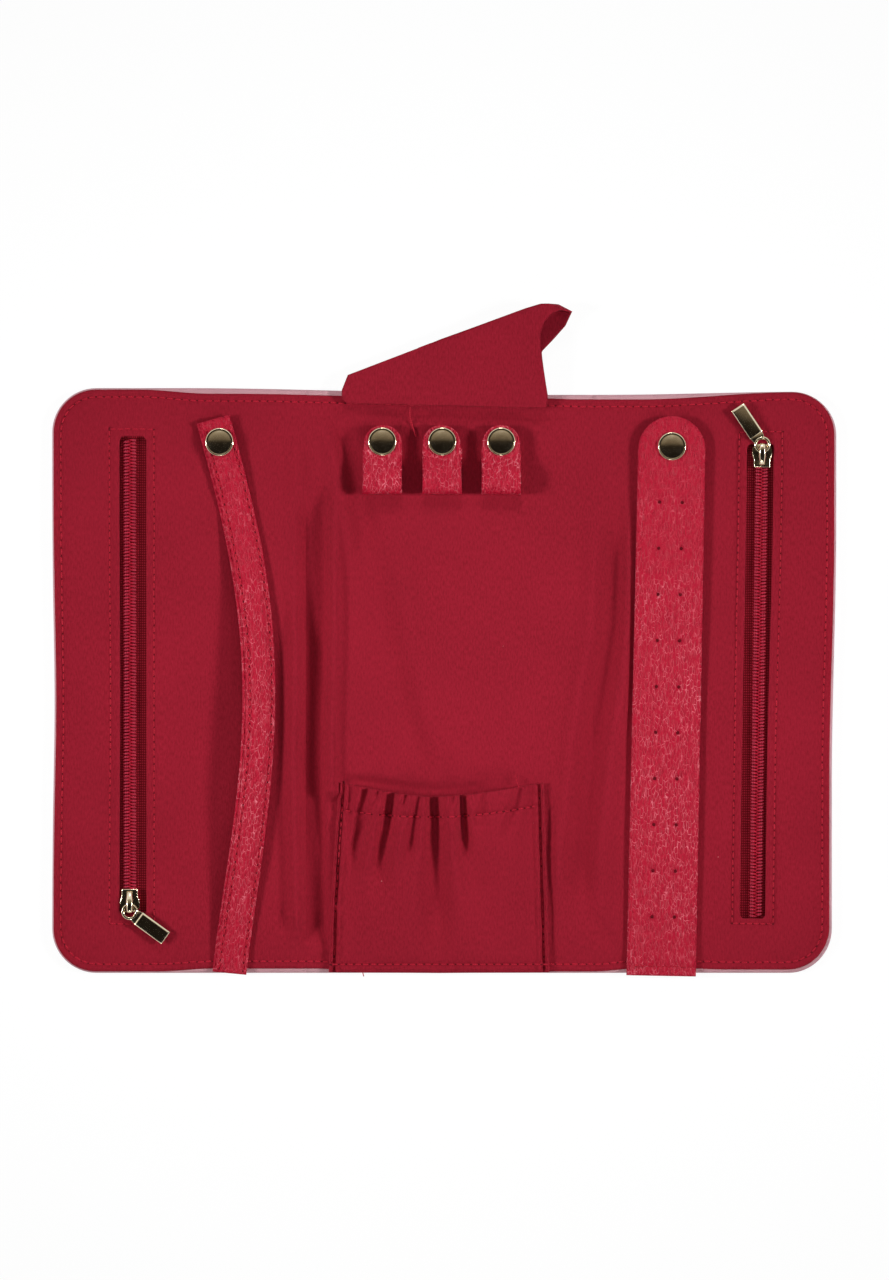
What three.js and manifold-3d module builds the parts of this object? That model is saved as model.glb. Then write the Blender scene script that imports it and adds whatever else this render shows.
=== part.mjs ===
// Folding travel jewellery case, lying open with its red lining up.
// Millimetres. X runs across the open case, Y towards its top edge and Z up.
// The origin is on the underside of the cover, in the middle of the open case.

import * as THREE from "three";
import * as BufferGeometryUtils from "three/addons/utils/BufferGeometryUtils.js";
import Module from "manifold-3d";

const wasm = await Module();
wasm.setup();

// Open case: a left wing, a left spine, a centre panel, a right spine and a right wing
const caseWidth = 302.2;
const caseHeight = 225.2;
const cornerRadius = 17;
const leftWingWidth = 91.6;
const leftSpineWidth = 12.3;
const rightSpineWidth = 22;
const rightWingWidth = 82.8;
const foldGap = 0.3;

// Layers from the table up
const coverThickness = 0.9;
const layerGap = 0.2;
const paddingThickness = 2.1;
const liningThickness = 0.4;
const rimWidth = 1.2;
const liningInset = 0.8;
const paddingInset = 2;

// Zipped pockets
const pouchRecessFloor = 0.8;
const pouchClothThickness = 0.25;
const pouchWidth = 68;
const pouchFromEnds = 10.6;
const pouchEdgeMargin = 6;
const thinGap = 0.15;
const sliderBaseThickness = 0.4;
const tapeThickness = 0.25;
const tapeWidth = 21;
const tapeMeetingGap = 0.4;
const tapeRunOut = 7;
const windowWidth = 10.8;
const windowFromEnds = 20.3;
const windowCornerRadius = 1.5;
const leftZipFromEdge = 31.2;
const leftZipY = 1.9;
const leftCoilOffset = -1.2;
const rightZipFromEdge = 30.6;
const rightZipY = 0;
const rightZipTilt = -0.78;
const rightCoilOffset = -0.5;
const windowCoilMargin = 0.6;

// Zip coil, slider and puller
const coilWidth = 4.6;
const coilPitch = 1.25;
const coilHeight = 1.5;
const toothReach = 1.6;
const toothClearance = 0.4;
const sliderRearHalfWidth = 3.15;
const sliderShoulderHalfWidth = 3.9;
const sliderLength = 8.8;
const sliderPlateThickness = 0.7;
const sliderEndMargin = 1.4;
const sliderChannelClearance = 0.3;
const bridgeWidth = 2.2;
const bridgeThickness = 0.8;
const bridgeClearHeight = 1.3;
const pullerThickness = 0.8;
const pullerLength = 17.2;
const pullerWidth = 5.7;
const pullerRingRadius = 3.1;
const pullerHoleRadius = 2;
const leftPullerAngle = -36;
const rightPullerAngle = -55.5;

// Press studs
const capRadius = 5.4;
const capHeight = 1.15;
const shankRadius = 0.8;
const shankHoleRadius = 1.1;
const socketRadius = 4;
const socketHeight = 1.15;
const socketHoleRadius = 2;
const socketCeiling = 0.35;
const studFlangeRadius = 3.6;
const studFlangeHeight = 0.4;
const studHeadRadius = 1.55;
const studNeckRadius = 1.25;

// Leatherette straps and loops
const strapLayer = 0.7;
const strapSeat = 0.3;
const ringStrapWidth = 13.1;
const ringStrapArch = 1.2;
const ringStrapTrim = 2.4;
const ringFootFromFold = 23.4;
const ringTopFromFold = 29.4;
const ringTopFromEdge = 12.1;
const ringBow = 14.6;
const ringBowSkew = 1.15;
const ringSnapShare = 0.958;
const ringSnapLean = 0.05;
const earringStrapWidth = 25.8;
const earringTopFromEdge = 10.9;
const earringStrapFromFold = 15.4;
const earringStrapTilt = -1.05;
const earringStrapOverhang = 1;
const earringSnapFromTop = 11.6;
const earringHoleRadius = 0.65;
const earringHoleSpacing = 8.6;
const earringHolePitch = 17.73;
const earringFirstRowFromTop = 33.1;
const earringLastRowFromFoot = 20;
const loopWidth = 15.2;
const loopThickness = 1.2;
const loopFromTopEdge = 14.6;
const loopLength = 26.6;
const loopSnapFromTop = 6.2;
const loopBackShortfall = 2;
const loopEaseEnd = 80;
const loopHeight = 7.8;
const loopXs = [-23.9, -0.9, 21.8];

// Gathered pocket and its elastic
const pocketFromLeftFold = 3.2;
const pocketFromRightFold = 6.1;
const pocketFromBottomEdge = 2.6;
const pocketDepth = 68.5;
const pocketMouthHeight = 7;
const pocketHemHeight = 1.2;
const pocketCloth = 0.5;
const pocketSideRun = 5;
const pocketMouthInsetLeft = 4.6;
const pocketMouthInsetRight = 2;
const pocketMouthDip = 3.5;
const gatherDepth = 0.7;
const gatherCount = 8;
const elasticWidth = 6;
const elasticThickness = 0.6;
const elasticInset = 8;

// Necklace flap, flipped up over the top edge and folded back on itself
const flapOverlap = 7.6;
const flapWidthAtHinge = 79.5;
const flapLeftX = -39.7;
const flapReach = 37.8;
const flapTipX = 47.5;
const flapTipWaist = 7.8;
const flapPeakShare = 0.85;
const flapLeftReach = 10.5;
const flapThickness = 1.4;
const flapPuff = 2.2;
const flapLift = 0.9;
const flapDroop = 0.1;

// Heights that follow from the layers
const paddingBottom = coverThickness + layerGap;
const paddingTop = paddingBottom + paddingThickness;
const liningBottom = paddingTop + layerGap;
const liningTop = liningBottom + liningThickness;
const pouchBottom = paddingBottom + pouchRecessFloor + thinGap;
const pouchTop = pouchBottom + pouchClothThickness;
const sliderBaseBottom = pouchTop + thinGap;
const sliderBaseTop = sliderBaseBottom + sliderBaseThickness;
const tapeBottom = sliderBaseTop + thinGap;
const tapeTop = tapeBottom + tapeThickness;
const coilBottom = tapeTop + thinGap;
const coilTop = coilBottom + coilHeight;
const snapStack = thinGap + studFlangeHeight + thinGap + socketHeight + thinGap;

// Places of the folds along X
const caseLeft = -caseWidth / 2;
const caseRight = caseWidth / 2;
const leftWingFold = caseLeft + leftWingWidth;
const leftSpineFold = leftWingFold + leftSpineWidth;
const rightWingFold = caseRight - rightWingWidth;
const rightSpineFold = rightWingFold - rightSpineWidth;
const caseTop = caseHeight / 2;
const caseBottom = -caseHeight / 2;

// Places of the pieces that lie on the lining
const leftZipX = caseLeft + leftZipFromEdge;
const rightZipX = caseRight - rightZipFromEdge;
const earringStrapX = rightWingFold + earringStrapFromFold;
const loopTopY = caseTop - loopFromTopEdge;
const loopBottomY = loopTopY - loopLength;
const loopSnapY = loopTopY - loopSnapFromTop;
const pocketLeft = leftSpineFold + pocketFromLeftFold;
const pocketRight = rightSpineFold - pocketFromRightFold;
const pocketBottomY = caseBottom + pocketFromBottomEdge;
const pocketMouthY = pocketBottomY + pocketDepth;
const flapHingeY = caseTop - flapOverlap;
const aboveEverything = 10 * liningTop;

// Lengths that follow the case's height
const windowLength = caseHeight - 2 * windowFromEnds;
const pouchHeight = caseHeight - 2 * pouchFromEnds;
const earringStrapLength = caseHeight + earringStrapOverhang - earringTopFromEdge;
const earringHoleRun = earringStrapLength - earringFirstRowFromTop - earringLastRowFromFoot;
const earringHoleRows = Math.floor(earringHoleRun / earringHolePitch) + 1;

const leatherette = { color: 0xbb2239, roughness: 0.5, metalness: 0 };
const blushLeatherette = { color: 0xd09aa6, roughness: 0.6, metalness: 0 };
const cloth = { color: 0x91182a, roughness: 0.9, metalness: 0 };
const foam = { color: 0xe8e4dc, roughness: 1, metalness: 0 };
const tapeCloth = { color: 0x8e2838, roughness: 0.9, metalness: 0 };
const coilNylon = { color: 0x7a1a2a, roughness: 0.45, metalness: 0 };
const paleGold = { color: 0xd8c39a, roughness: 0.2, metalness: 1 };
const elasticWhite = { color: 0xe6e0da, roughness: 0.9, metalness: 0 };

const jewelleryCase = new THREE.Group();

function addMesh(parent, name, geometry, finish) {
  const mesh = new THREE.Mesh(geometry, new THREE.MeshStandardMaterial(finish));
  mesh.name = name;
  parent.add(mesh);
  return mesh;
}

function addGroup(parent, x, y, z, turn = 0) {
  const group = new THREE.Group();
  group.position.set(x, y, z);
  group.rotation.z = THREE.MathUtils.degToRad(turn);
  parent.add(group);
  return group;
}

// Merges a geometry's corners and turns its faces outwards
function closedGeometry(geometry) {
  const plain = geometry.index ? geometry.toNonIndexed() : geometry.clone();
  plain.deleteAttribute("normal");
  plain.deleteAttribute("uv");
  const merged = BufferGeometryUtils.mergeVertices(plain, 1e-4);
  const place = merged.attributes.position;
  const corner = merged.index.array;
  const [a, b, c] = [new THREE.Vector3(), new THREE.Vector3(), new THREE.Vector3()];
  let volume = 0;
  for (let i = 0; i < corner.length; i += 3) {
    a.fromBufferAttribute(place, corner[i]);
    b.fromBufferAttribute(place, corner[i + 1]);
    c.fromBufferAttribute(place, corner[i + 2]);
    volume += a.dot(b.cross(c));
  }
  if (volume < 0) {
    for (let i = 0; i < corner.length; i += 3) {
      [corner[i + 1], corner[i + 2]] = [corner[i + 2], corner[i + 1]];
    }
  }
  return merged;
}

function toSolid(geometry) {
  const merged = closedGeometry(geometry);
  const mesh = new wasm.Mesh({
    numProp: 3,
    vertProperties: new Float32Array(merged.attributes.position.array),
    triVerts: new Uint32Array(merged.index.array),
  });
  return new wasm.Manifold(mesh);
}

function fromSolid(solid) {
  const mesh = solid.getMesh();
  const geometry = new THREE.BufferGeometry();
  geometry.setAttribute("position", new THREE.BufferAttribute(mesh.vertProperties, 3));
  geometry.setIndex(new THREE.BufferAttribute(mesh.triVerts, 1));
  geometry.computeVertexNormals();
  return geometry;
}

function cut(geometry, ...tools) {
  let solid = toSolid(geometry);
  for (const tool of tools) {
    solid = solid.subtract(toSolid(tool));
  }
  return fromSolid(solid);
}

function slab(shape, bottom, top, curveSegments = 6) {
  const geometry = new THREE.ExtrudeGeometry(shape, {
    depth: top - bottom,
    bevelEnabled: false,
    curveSegments,
  });
  geometry.translate(0, 0, bottom);
  return closedGeometry(geometry);
}

// A side view in Y and Z, extruded along X and centred on it
function acrossX(shape, width, curveSegments = 8) {
  const geometry = new THREE.ExtrudeGeometry(shape, {
    depth: width,
    bevelEnabled: false,
    curveSegments,
  });
  const turn = new THREE.Matrix4().set(0, 0, 1, -width / 2, 1, 0, 0, 0, 0, 1, 0, 0, 0, 0, 0, 1);
  geometry.applyMatrix4(turn);
  return closedGeometry(geometry);
}

// Revolves a profile of [radius, height] points about Z
function turned(profile, segments = 20) {
  const points = profile.map(([radius, height]) => new THREE.Vector2(radius, height));
  const geometry = new THREE.LatheGeometry(points, segments);
  geometry.rotateX(Math.PI / 2);
  return closedGeometry(geometry);
}

function rectangle(left, right, bottom, top, radius = 0) {
  const shape = new THREE.Shape();
  if (radius === 0) {
    shape.moveTo(left, bottom);
    shape.lineTo(right, bottom);
    shape.lineTo(right, top);
    shape.lineTo(left, top);
    return shape;
  }
  shape.moveTo(left + radius, bottom);
  shape.absarc(right - radius, bottom + radius, radius, -Math.PI / 2, 0, false);
  shape.absarc(right - radius, top - radius, radius, 0, Math.PI / 2, false);
  shape.absarc(left + radius, top - radius, radius, Math.PI / 2, Math.PI, false);
  shape.absarc(left + radius, bottom + radius, radius, Math.PI, 1.5 * Math.PI, false);
  return shape;
}

// Outline of one panel between two folds, drawn in from its free edges by an inset.
// The outer ends of the wings have round corners.
function panelOutline(panel, inset, foldInset = foldGap / 2) {
  const left = panel.left + (panel.roundLeft ? inset : foldInset);
  const right = panel.right - (panel.roundRight ? inset : foldInset);
  const bottom = caseBottom + inset;
  const top = caseTop - inset;
  const radius = cornerRadius - inset;
  const shape = new THREE.Shape();
  if (panel.roundLeft) {
    shape.absarc(left + radius, top - radius, radius, Math.PI / 2, Math.PI, false);
    shape.absarc(left + radius, bottom + radius, radius, Math.PI, 1.5 * Math.PI, false);
  } else {
    shape.moveTo(left, top);
    shape.lineTo(left, bottom);
  }
  if (panel.roundRight) {
    shape.absarc(right - radius, bottom + radius, radius, -Math.PI / 2, 0, false);
    shape.absarc(right - radius, top - radius, radius, 0, Math.PI / 2, false);
  } else {
    shape.lineTo(right, bottom);
    shape.lineTo(right, top);
  }
  return shape;
}

// Cover panels: leatherette whose free edges turn up to meet the lining
const panels = {
  left: { left: caseLeft, right: leftWingFold, roundLeft: true },
  spine_left: { left: leftWingFold, right: leftSpineFold },
  centre: { left: leftSpineFold, right: rightSpineFold },
  spine_right: { left: rightSpineFold, right: rightWingFold },
  right: { left: rightWingFold, right: caseRight, roundRight: true },
};

function coverPanel(panel) {
  const tray = slab(panelOutline(panel, 0), 0, liningBottom - layerGap);
  const overshoot = -1;
  const hollow = slab(panelOutline(panel, rimWidth, overshoot), coverThickness, liningBottom);
  return cut(tray, hollow);
}

for (const [name, panel] of Object.entries(panels)) {
  addMesh(jewelleryCase, `outer_cover_${name}`, coverPanel(panel), blushLeatherette);
}

// Zips stand in frames of their own, with the slider's closed end towards -Y
const zips = {
  left: {
    x: leftZipX,
    y: leftZipY,
    turn: 0,
    coilOffset: leftCoilOffset,
    pullerAngle: leftPullerAngle,
  },
  right: {
    x: rightZipX,
    y: rightZipY,
    turn: 180 + rightZipTilt,
    coilOffset: rightCoilOffset,
    pullerAngle: rightPullerAngle,
  },
};

function placed(geometry, zip) {
  const copy = geometry.clone();
  copy.rotateZ(THREE.MathUtils.degToRad(zip.turn));
  copy.translate(zip.x, zip.y, 0);
  return copy;
}

function windowShape(margin = 0) {
  const halfWidth = windowWidth / 2 + margin;
  const halfLength = windowLength / 2 + margin;
  return rectangle(-halfWidth, halfWidth, -halfLength, halfLength, windowCornerRadius);
}

function pouchOutline(side, margin) {
  const inner = caseWidth / 2 - pouchEdgeMargin - pouchWidth;
  const outer = caseWidth / 2 - pouchEdgeMargin;
  const halfHeight = pouchHeight / 2 + margin;
  const [left, right] = side === "left" ? [-outer, -inner] : [inner, outer];
  return rectangle(left - margin, right + margin, -halfHeight, halfHeight, cornerRadius / 2);
}

// Padding: foam sheets, hollowed for the pocket cloth in the two wings
for (const name of ["left", "centre", "right"]) {
  const outline = panelOutline(panels[name], paddingInset, paddingInset);
  const sheet = slab(outline, paddingBottom, paddingTop);
  if (name === "centre") {
    addMesh(jewelleryCase, "padding_centre", sheet, foam);
    continue;
  }
  const recessFloor = paddingBottom + pouchRecessFloor;
  const recess = slab(pouchOutline(name, 0.5), recessFloor, liningBottom);
  addMesh(jewelleryCase, `padding_${name}`, cut(sheet, recess), foam);
  const pouch = slab(pouchOutline(name, 0), pouchBottom, pouchTop);
  addMesh(jewelleryCase, `zip_pocket_cloth_${name}`, pouch, cloth);
}

// Lining: one cloth facing for each panel, with a window over each zip
for (const [name, panel] of Object.entries(panels)) {
  const sheet = slab(panelOutline(panel, liningInset), liningBottom, liningTop);
  if (zips[name]) {
    const opening = placed(slab(windowShape(), tapeBottom, coilTop, 3), zips[name]);
    addMesh(jewelleryCase, `lining_${name}`, cut(sheet, opening), cloth);
    continue;
  }
  addMesh(jewelleryCase, `lining_${name}`, sheet, cloth);
}

// Zip tapes: two woven strips that nearly meet under the coil
const coilLength = windowLength - 2 * windowCoilMargin;

function addTapes(group, side) {
  const halfLength = windowLength / 2 + tapeRunOut;
  const inner = tapeMeetingGap / 2;
  const outer = tapeWidth / 2;
  const rightTape = slab(rectangle(inner, outer, -halfLength, halfLength), tapeBottom, tapeTop);
  const leftTape = slab(rectangle(-outer, -inner, -halfLength, halfLength), tapeBottom, tapeTop);
  addMesh(group, `zip_tape_${side}_a`, leftTape, tapeCloth);
  addMesh(group, `zip_tape_${side}_b`, rightTape, tapeCloth);
}

// Coil halves: combs of pointed teeth that mesh along the middle of the zip.
// The second half is the first one turned half round, half a pitch further on.
function coilHalf() {
  const count = Math.floor(coilLength / coilPitch) - 1;
  const root = -(toothReach + toothClearance) / 2;
  const tip = root + toothReach;
  const start = -(count * coilPitch) / 2;
  const shape = new THREE.Shape();
  shape.moveTo(-coilWidth / 2, start);
  shape.lineTo(root, start);
  for (let i = 0; i < count; i += 1) {
    shape.lineTo(tip, start + (i + 0.5) * coilPitch);
    shape.lineTo(root, start + (i + 1) * coilPitch);
  }
  shape.lineTo(-coilWidth / 2, start + count * coilPitch);
  return slab(shape, coilBottom, coilTop);
}

function addCoils(group, side) {
  addMesh(group, `zip_coil_${side}_a`, coilHalf(), coilNylon);
  const second = coilHalf();
  second.rotateZ(Math.PI);
  second.translate(0, coilPitch / 2, 0);
  addMesh(group, `zip_coil_${side}_b`, second, coilNylon);
}

// Slider: a crowned top plate with side flanges round the coil and a bridge for the puller.
// A base plate runs under the tapes.
const crownBottom = coilTop + thinGap;
const crownTop = crownBottom + sliderPlateThickness;
const bridgeUnderside = crownTop + bridgeClearHeight;

function sliderOutline(grow = 0) {
  const rear = sliderLength / 2 + grow;
  const shoulder = sliderShoulderHalfWidth + grow;
  const narrow = sliderRearHalfWidth + grow;
  const shape = new THREE.Shape();
  shape.moveTo(-narrow, rear);
  shape.lineTo(-narrow, rear * 0.25);
  shape.quadraticCurveTo(-narrow, -rear * 0.1, -shoulder, -rear * 0.45);
  shape.quadraticCurveTo(-shoulder, -rear * 0.95, -shoulder * 0.35, -rear);
  shape.lineTo(shoulder * 0.35, -rear);
  shape.quadraticCurveTo(shoulder, -rear * 0.95, shoulder, -rear * 0.45);
  shape.quadraticCurveTo(narrow, -rear * 0.1, narrow, rear * 0.25);
  shape.lineTo(narrow, rear);
  return shape;
}

function bridgeProfile() {
  const foot = crownTop - sliderPlateThickness / 2;
  const peak = bridgeUnderside + bridgeThickness;
  const nose = -sliderLength / 2 + 0.1;
  const heel = sliderLength / 2 - 1;
  const bend = 1.2;
  const shape = new THREE.Shape();
  shape.moveTo(nose, foot);
  shape.lineTo(nose, peak - bend);
  shape.quadraticCurveTo(nose, peak, nose + bend, peak);
  shape.quadraticCurveTo(heel - bend, peak, heel, foot);
  shape.lineTo(heel - bridgeThickness, foot);
  shape.quadraticCurveTo(heel - bend - bridgeThickness, bridgeUnderside, nose + bend + 1, bridgeUnderside);
  shape.lineTo(nose + bridgeThickness + 0.3, bridgeUnderside);
  shape.quadraticCurveTo(
    nose + bridgeThickness,
    bridgeUnderside,
    nose + bridgeThickness,
    bridgeUnderside - 0.3,
  );
  shape.lineTo(nose + bridgeThickness, foot);
  return shape;
}

function sliderCrown() {
  const block = slab(sliderOutline(), tapeTop + layerGap, crownTop, 5);
  const channelHalf = coilWidth / 2 + sliderChannelClearance;
  const channelShape = rectangle(-channelHalf, channelHalf, -sliderLength, sliderLength);
  const channel = slab(channelShape, tapeTop - 1, crownBottom);
  const body = toSolid(block).subtract(toSolid(channel));
  return fromSolid(body.add(toSolid(acrossX(bridgeProfile(), bridgeWidth, 6))));
}

// Puller: a flat bar with a round eye at one end, through which the bridge passes
function pullerGeometry() {
  const bevel = 0.2;
  const halfWidth = pullerWidth / 2 - bevel;
  const ring = pullerRingRadius - bevel;
  const blend = Math.acos(Math.sqrt(ring * ring - halfWidth * halfWidth) / ring);
  const shape = new THREE.Shape();
  shape.moveTo(pullerLength - bevel, -halfWidth);
  shape.lineTo(pullerLength - bevel, halfWidth);
  shape.absarc(0, 0, ring, blend, 2 * Math.PI - blend, false);
  const eye = new THREE.Path();
  eye.absarc(0, 0, pullerHoleRadius + bevel, 0, 2 * Math.PI, true);
  shape.holes.push(eye);
  const geometry = new THREE.ExtrudeGeometry(shape, {
    depth: pullerThickness - 2 * bevel,
    bevelThickness: bevel,
    bevelSize: bevel,
    bevelSegments: 1,
    curveSegments: 8,
  });
  geometry.translate(0, 0, bevel);
  return closedGeometry(geometry);
}

const sliderStartY = -windowLength / 2 + sliderEndMargin + sliderLength / 2;
const eyeY = -sliderLength / 2 + 0.1;

for (const [side, zip] of Object.entries(zips)) {
  const frame = addGroup(jewelleryCase, zip.x, zip.y, 0, zip.turn);
  const runner = addGroup(frame, zip.coilOffset, 0, 0);
  addTapes(runner, side);
  addCoils(runner, side);
  const slider = addGroup(runner, 0, sliderStartY, 0);
  addMesh(slider, `zip_slider_${side}`, sliderCrown(), paleGold);
  const base = slab(sliderOutline(), sliderBaseBottom, sliderBaseTop, 5);
  addMesh(slider, `zip_slider_base_${side}`, base, paleGold);
  const eye = addGroup(slider, 0, eyeY, crownTop + layerGap, zip.pullerAngle);
  addMesh(eye, `zip_puller_${side}`, pullerGeometry(), paleGold);
}

// Press stud: a cap riveted through the strap to a socket, over a stud on the panel.
// The strap's underside lies one snap stack above the surface that carries the stud.
function capGeometry(under, over) {
  const seat = over + thinGap;
  const profile = [[0, under - thinGap - socketCeiling / 2]];
  profile.push([shankRadius, under - thinGap - socketCeiling / 2]);
  profile.push([shankRadius, seat]);
  profile.push([capRadius - 0.25, seat]);
  profile.push([capRadius, seat + capHeight * 0.25]);
  profile.push([capRadius * 0.93, seat + capHeight * 0.6]);
  profile.push([capRadius * 0.74, seat + capHeight * 0.87]);
  profile.push([capRadius * 0.42, seat + capHeight * 0.97]);
  profile.push([0, seat + capHeight]);
  return turned(profile);
}

function socketGeometry(under) {
  const top = under - thinGap;
  const bottom = top - socketHeight;
  return turned([
    [shankHoleRadius, top],
    [socketRadius * 0.8, top],
    [socketRadius, top - socketHeight * 0.3],
    [socketRadius, bottom],
    [socketHoleRadius, bottom],
    [socketHoleRadius, top - socketCeiling],
    [shankHoleRadius, top - socketCeiling],
    [shankHoleRadius, top],
  ], 16);
}

function studGeometry(surface) {
  const bottom = surface + thinGap;
  const flange = bottom + studFlangeHeight;
  const head = surface + snapStack - thinGap - socketCeiling - thinGap;
  return turned([
    [0, bottom],
    [studFlangeRadius, bottom],
    [studFlangeRadius * 0.9, flange],
    [studNeckRadius, flange],
    [studHeadRadius, head - 0.2],
    [studHeadRadius * 0.7, head],
    [0, head],
  ], 16);
}

function shankHole(x, y) {
  const shape = new THREE.Shape();
  shape.absarc(x, y, shankHoleRadius, 0, 2 * Math.PI, false);
  return slab(shape, 0, aboveEverything);
}

// Flat-sided ribbon along a curve, square in section, from its lower centre line
function ribbon(curve, width, bottomAt, thickness, steps) {
  const place = [];
  for (let i = 0; i <= steps; i += 1) {
    const t = i / steps;
    const centre = curve.getPointAt(t);
    const along = curve.getTangentAt(t);
    const side = new THREE.Vector2(along.y, -along.x).multiplyScalar(width / 2);
    const low = bottomAt(t);
    for (const [edge, rise] of [[-1, 0], [1, 0], [1, thickness], [-1, thickness]]) {
      place.push(centre.x + edge * side.x, centre.y + edge * side.y, low + rise);
    }
  }
  const face = [0, 1, 2, 0, 2, 3];
  for (let i = 0; i < steps; i += 1) {
    for (let k = 0; k < 4; k += 1) {
      const a = 4 * i + k;
      const b = 4 * i + ((k + 1) % 4);
      face.push(a, a + 4, b, b, a + 4, b + 4);
    }
  }
  const last = 4 * steps;
  face.push(last, last + 2, last + 1, last, last + 3, last + 2);
  const geometry = new THREE.BufferGeometry();
  geometry.setAttribute("position", new THREE.Float32BufferAttribute(place, 3));
  geometry.setIndex(face);
  return closedGeometry(geometry);
}

// Ring strap: two leatherette strips, sewn down at the bottom edge and snapped at the top.
// It lies in a long bow, as a strap longer than its span does.
const ringStrapPoints = [];
const ringStrapStretches = 10;
for (let i = 0; i <= ringStrapStretches; i += 1) {
  const t = i / ringStrapStretches;
  const chordX = leftWingFold - THREE.MathUtils.lerp(ringFootFromFold, ringTopFromFold, t);
  const y = THREE.MathUtils.lerp(caseBottom - ringStrapTrim, caseTop - ringTopFromEdge, t);
  ringStrapPoints.push(new THREE.Vector2(chordX + ringBow * Math.sin(Math.PI * t ** ringBowSkew), y));
}
const ringStrapRoute = new THREE.SplineCurve(ringStrapPoints);
const ringSnap = ringStrapRoute.getPointAt(ringSnapShare);

function ringUnderside(t) {
  const rise = THREE.MathUtils.smoothstep(t, 0.7, 0.9) * (snapStack - strapSeat);
  return liningTop + strapSeat + rise + ringStrapArch * Math.sin(Math.PI * t) ** 2;
}

function ringLayer(lift) {
  const strip = ribbon(ringStrapRoute, ringStrapWidth, (t) => ringUnderside(t) + lift, strapLayer, 22);
  const belowEdge = rectangle(leftWingFold - caseWidth, 0, caseBottom - 3 * ringStrapTrim, caseBottom);
  const trimming = slab(belowEdge, -aboveEverything, aboveEverything);
  return cut(strip, shankHole(ringSnap.x, ringSnap.y), trimming);
}

addMesh(jewelleryCase, "ring_strap_back", ringLayer(0), leatherette);
addMesh(jewelleryCase, "ring_strap_face", ringLayer(strapLayer + thinGap), leatherette);

function addSnap(parent, names, x, y, surface, under, over) {
  const place = addGroup(parent, x, y, 0);
  addMesh(place, names[0], capGeometry(under, over), paleGold);
  addMesh(place, names[1], socketGeometry(under), paleGold);
  if (names[2]) {
    addMesh(place, names[2], studGeometry(surface), paleGold);
  }
}

const ringSnapNames = ["ring_strap_snap_cap", "ring_strap_snap_socket", "ring_strap_snap_stud"];
const ringSnapUnder = ringUnderside(ringSnapShare) + ringSnapLean;
const ringSnapOver = ringSnapUnder + 2 * strapLayer + thinGap;
addSnap(
  jewelleryCase,
  ringSnapNames,
  ringSnap.x,
  ringSnap.y,
  liningTop,
  ringSnapUnder,
  ringSnapOver,
);

// Earring strap: a wide strap of two layers, punched with pairs of holes.
// It leans a little and rises from the lining at its foot to the snap at its top.
const earringFootY = caseBottom - earringStrapOverhang;
const earringSnapAlong = earringStrapLength - earringSnapFromTop;
const earringRise = (snapStack - strapSeat) / earringSnapAlong;

function earringOutline() {
  const half = earringStrapWidth / 2;
  const shape = new THREE.Shape();
  shape.moveTo(-half, 0);
  shape.lineTo(half, 0);
  shape.absarc(0, earringStrapLength - half, half, 0, Math.PI, false);
  for (let row = 0; row < earringHoleRows; row += 1) {
    const y = earringStrapLength - earringFirstRowFromTop - row * earringHolePitch;
    for (const x of [-earringHoleSpacing / 2, earringHoleSpacing / 2]) {
      const hole = new THREE.Path();
      hole.absarc(x, y, earringHoleRadius, 0, 2 * Math.PI, true);
      shape.holes.push(hole);
    }
  }
  const shank = new THREE.Path();
  shank.absarc(0, earringSnapAlong, shankHoleRadius, 0, 2 * Math.PI, true);
  shape.holes.push(shank);
  return shape;
}

const earringFrame = addGroup(
  jewelleryCase,
  earringStrapX,
  earringFootY,
  liningTop + strapSeat,
  earringStrapTilt,
);
const earringSlope = new THREE.Group();
earringSlope.rotation.x = Math.atan(earringRise);
earringFrame.add(earringSlope);
const earringLayerTop = 2 * strapLayer + thinGap;
addMesh(earringSlope, "earring_strap_back", slab(earringOutline(), 0, strapLayer, 4), leatherette);
addMesh(
  earringSlope,
  "earring_strap_face",
  slab(earringOutline(), strapLayer + thinGap, earringLayerTop, 4),
  leatherette,
);
const earringSnapNames = ["earring_strap_snap_cap", "earring_strap_snap_socket"];
addSnap(earringSlope, earringSnapNames, 0, earringSnapAlong, 0, 0, earringLayerTop);
const earringStudFrame = addGroup(earringFrame, 0, earringSnapAlong, -liningTop - strapSeat);
addMesh(earringStudFrame, "earring_strap_snap_stud", studGeometry(liningTop), paleGold);

// Necklace loops: a fixed leg on the lining and a free leg folded over it and snapped down
const loopBackMiddle = liningTop + strapSeat + loopThickness / 2;
const loopBackTop = loopBackMiddle + loopThickness / 2;
const loopFoldRadius = (loopHeight - loopThickness) / 2;
const loopFoldY = loopBottomY + loopThickness / 2 + loopFoldRadius;
const loopFoldZ = loopBackMiddle + loopFoldRadius;
const loopUnder = loopBackTop + snapStack;
const loopOver = loopUnder + loopThickness;

// Closed outline of a strip of even thickness along a list of [y, z] points
function stripOutline(points, thickness) {
  const near = [];
  const far = [];
  points.forEach(([y, z], i) => {
    const before = points[Math.max(i - 1, 0)];
    const after = points[Math.min(i + 1, points.length - 1)];
    const run = new THREE.Vector2(after[0] - before[0], after[1] - before[1]).normalize();
    const half = thickness / 2;
    near.push(new THREE.Vector2(y + run.y * half, z - run.x * half));
    far.unshift(new THREE.Vector2(y - run.y * half, z + run.x * half));
  });
  return new THREE.Shape([...near, ...far]);
}

function foldArc(from, to, steps) {
  const points = [];
  for (let i = 0; i <= steps; i += 1) {
    const angle = THREE.MathUtils.degToRad(from + ((to - from) * i) / steps);
    points.push([
      loopFoldY + loopFoldRadius * Math.cos(angle),
      loopFoldZ + loopFoldRadius * Math.sin(angle),
    ]);
  }
  return points;
}

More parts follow.
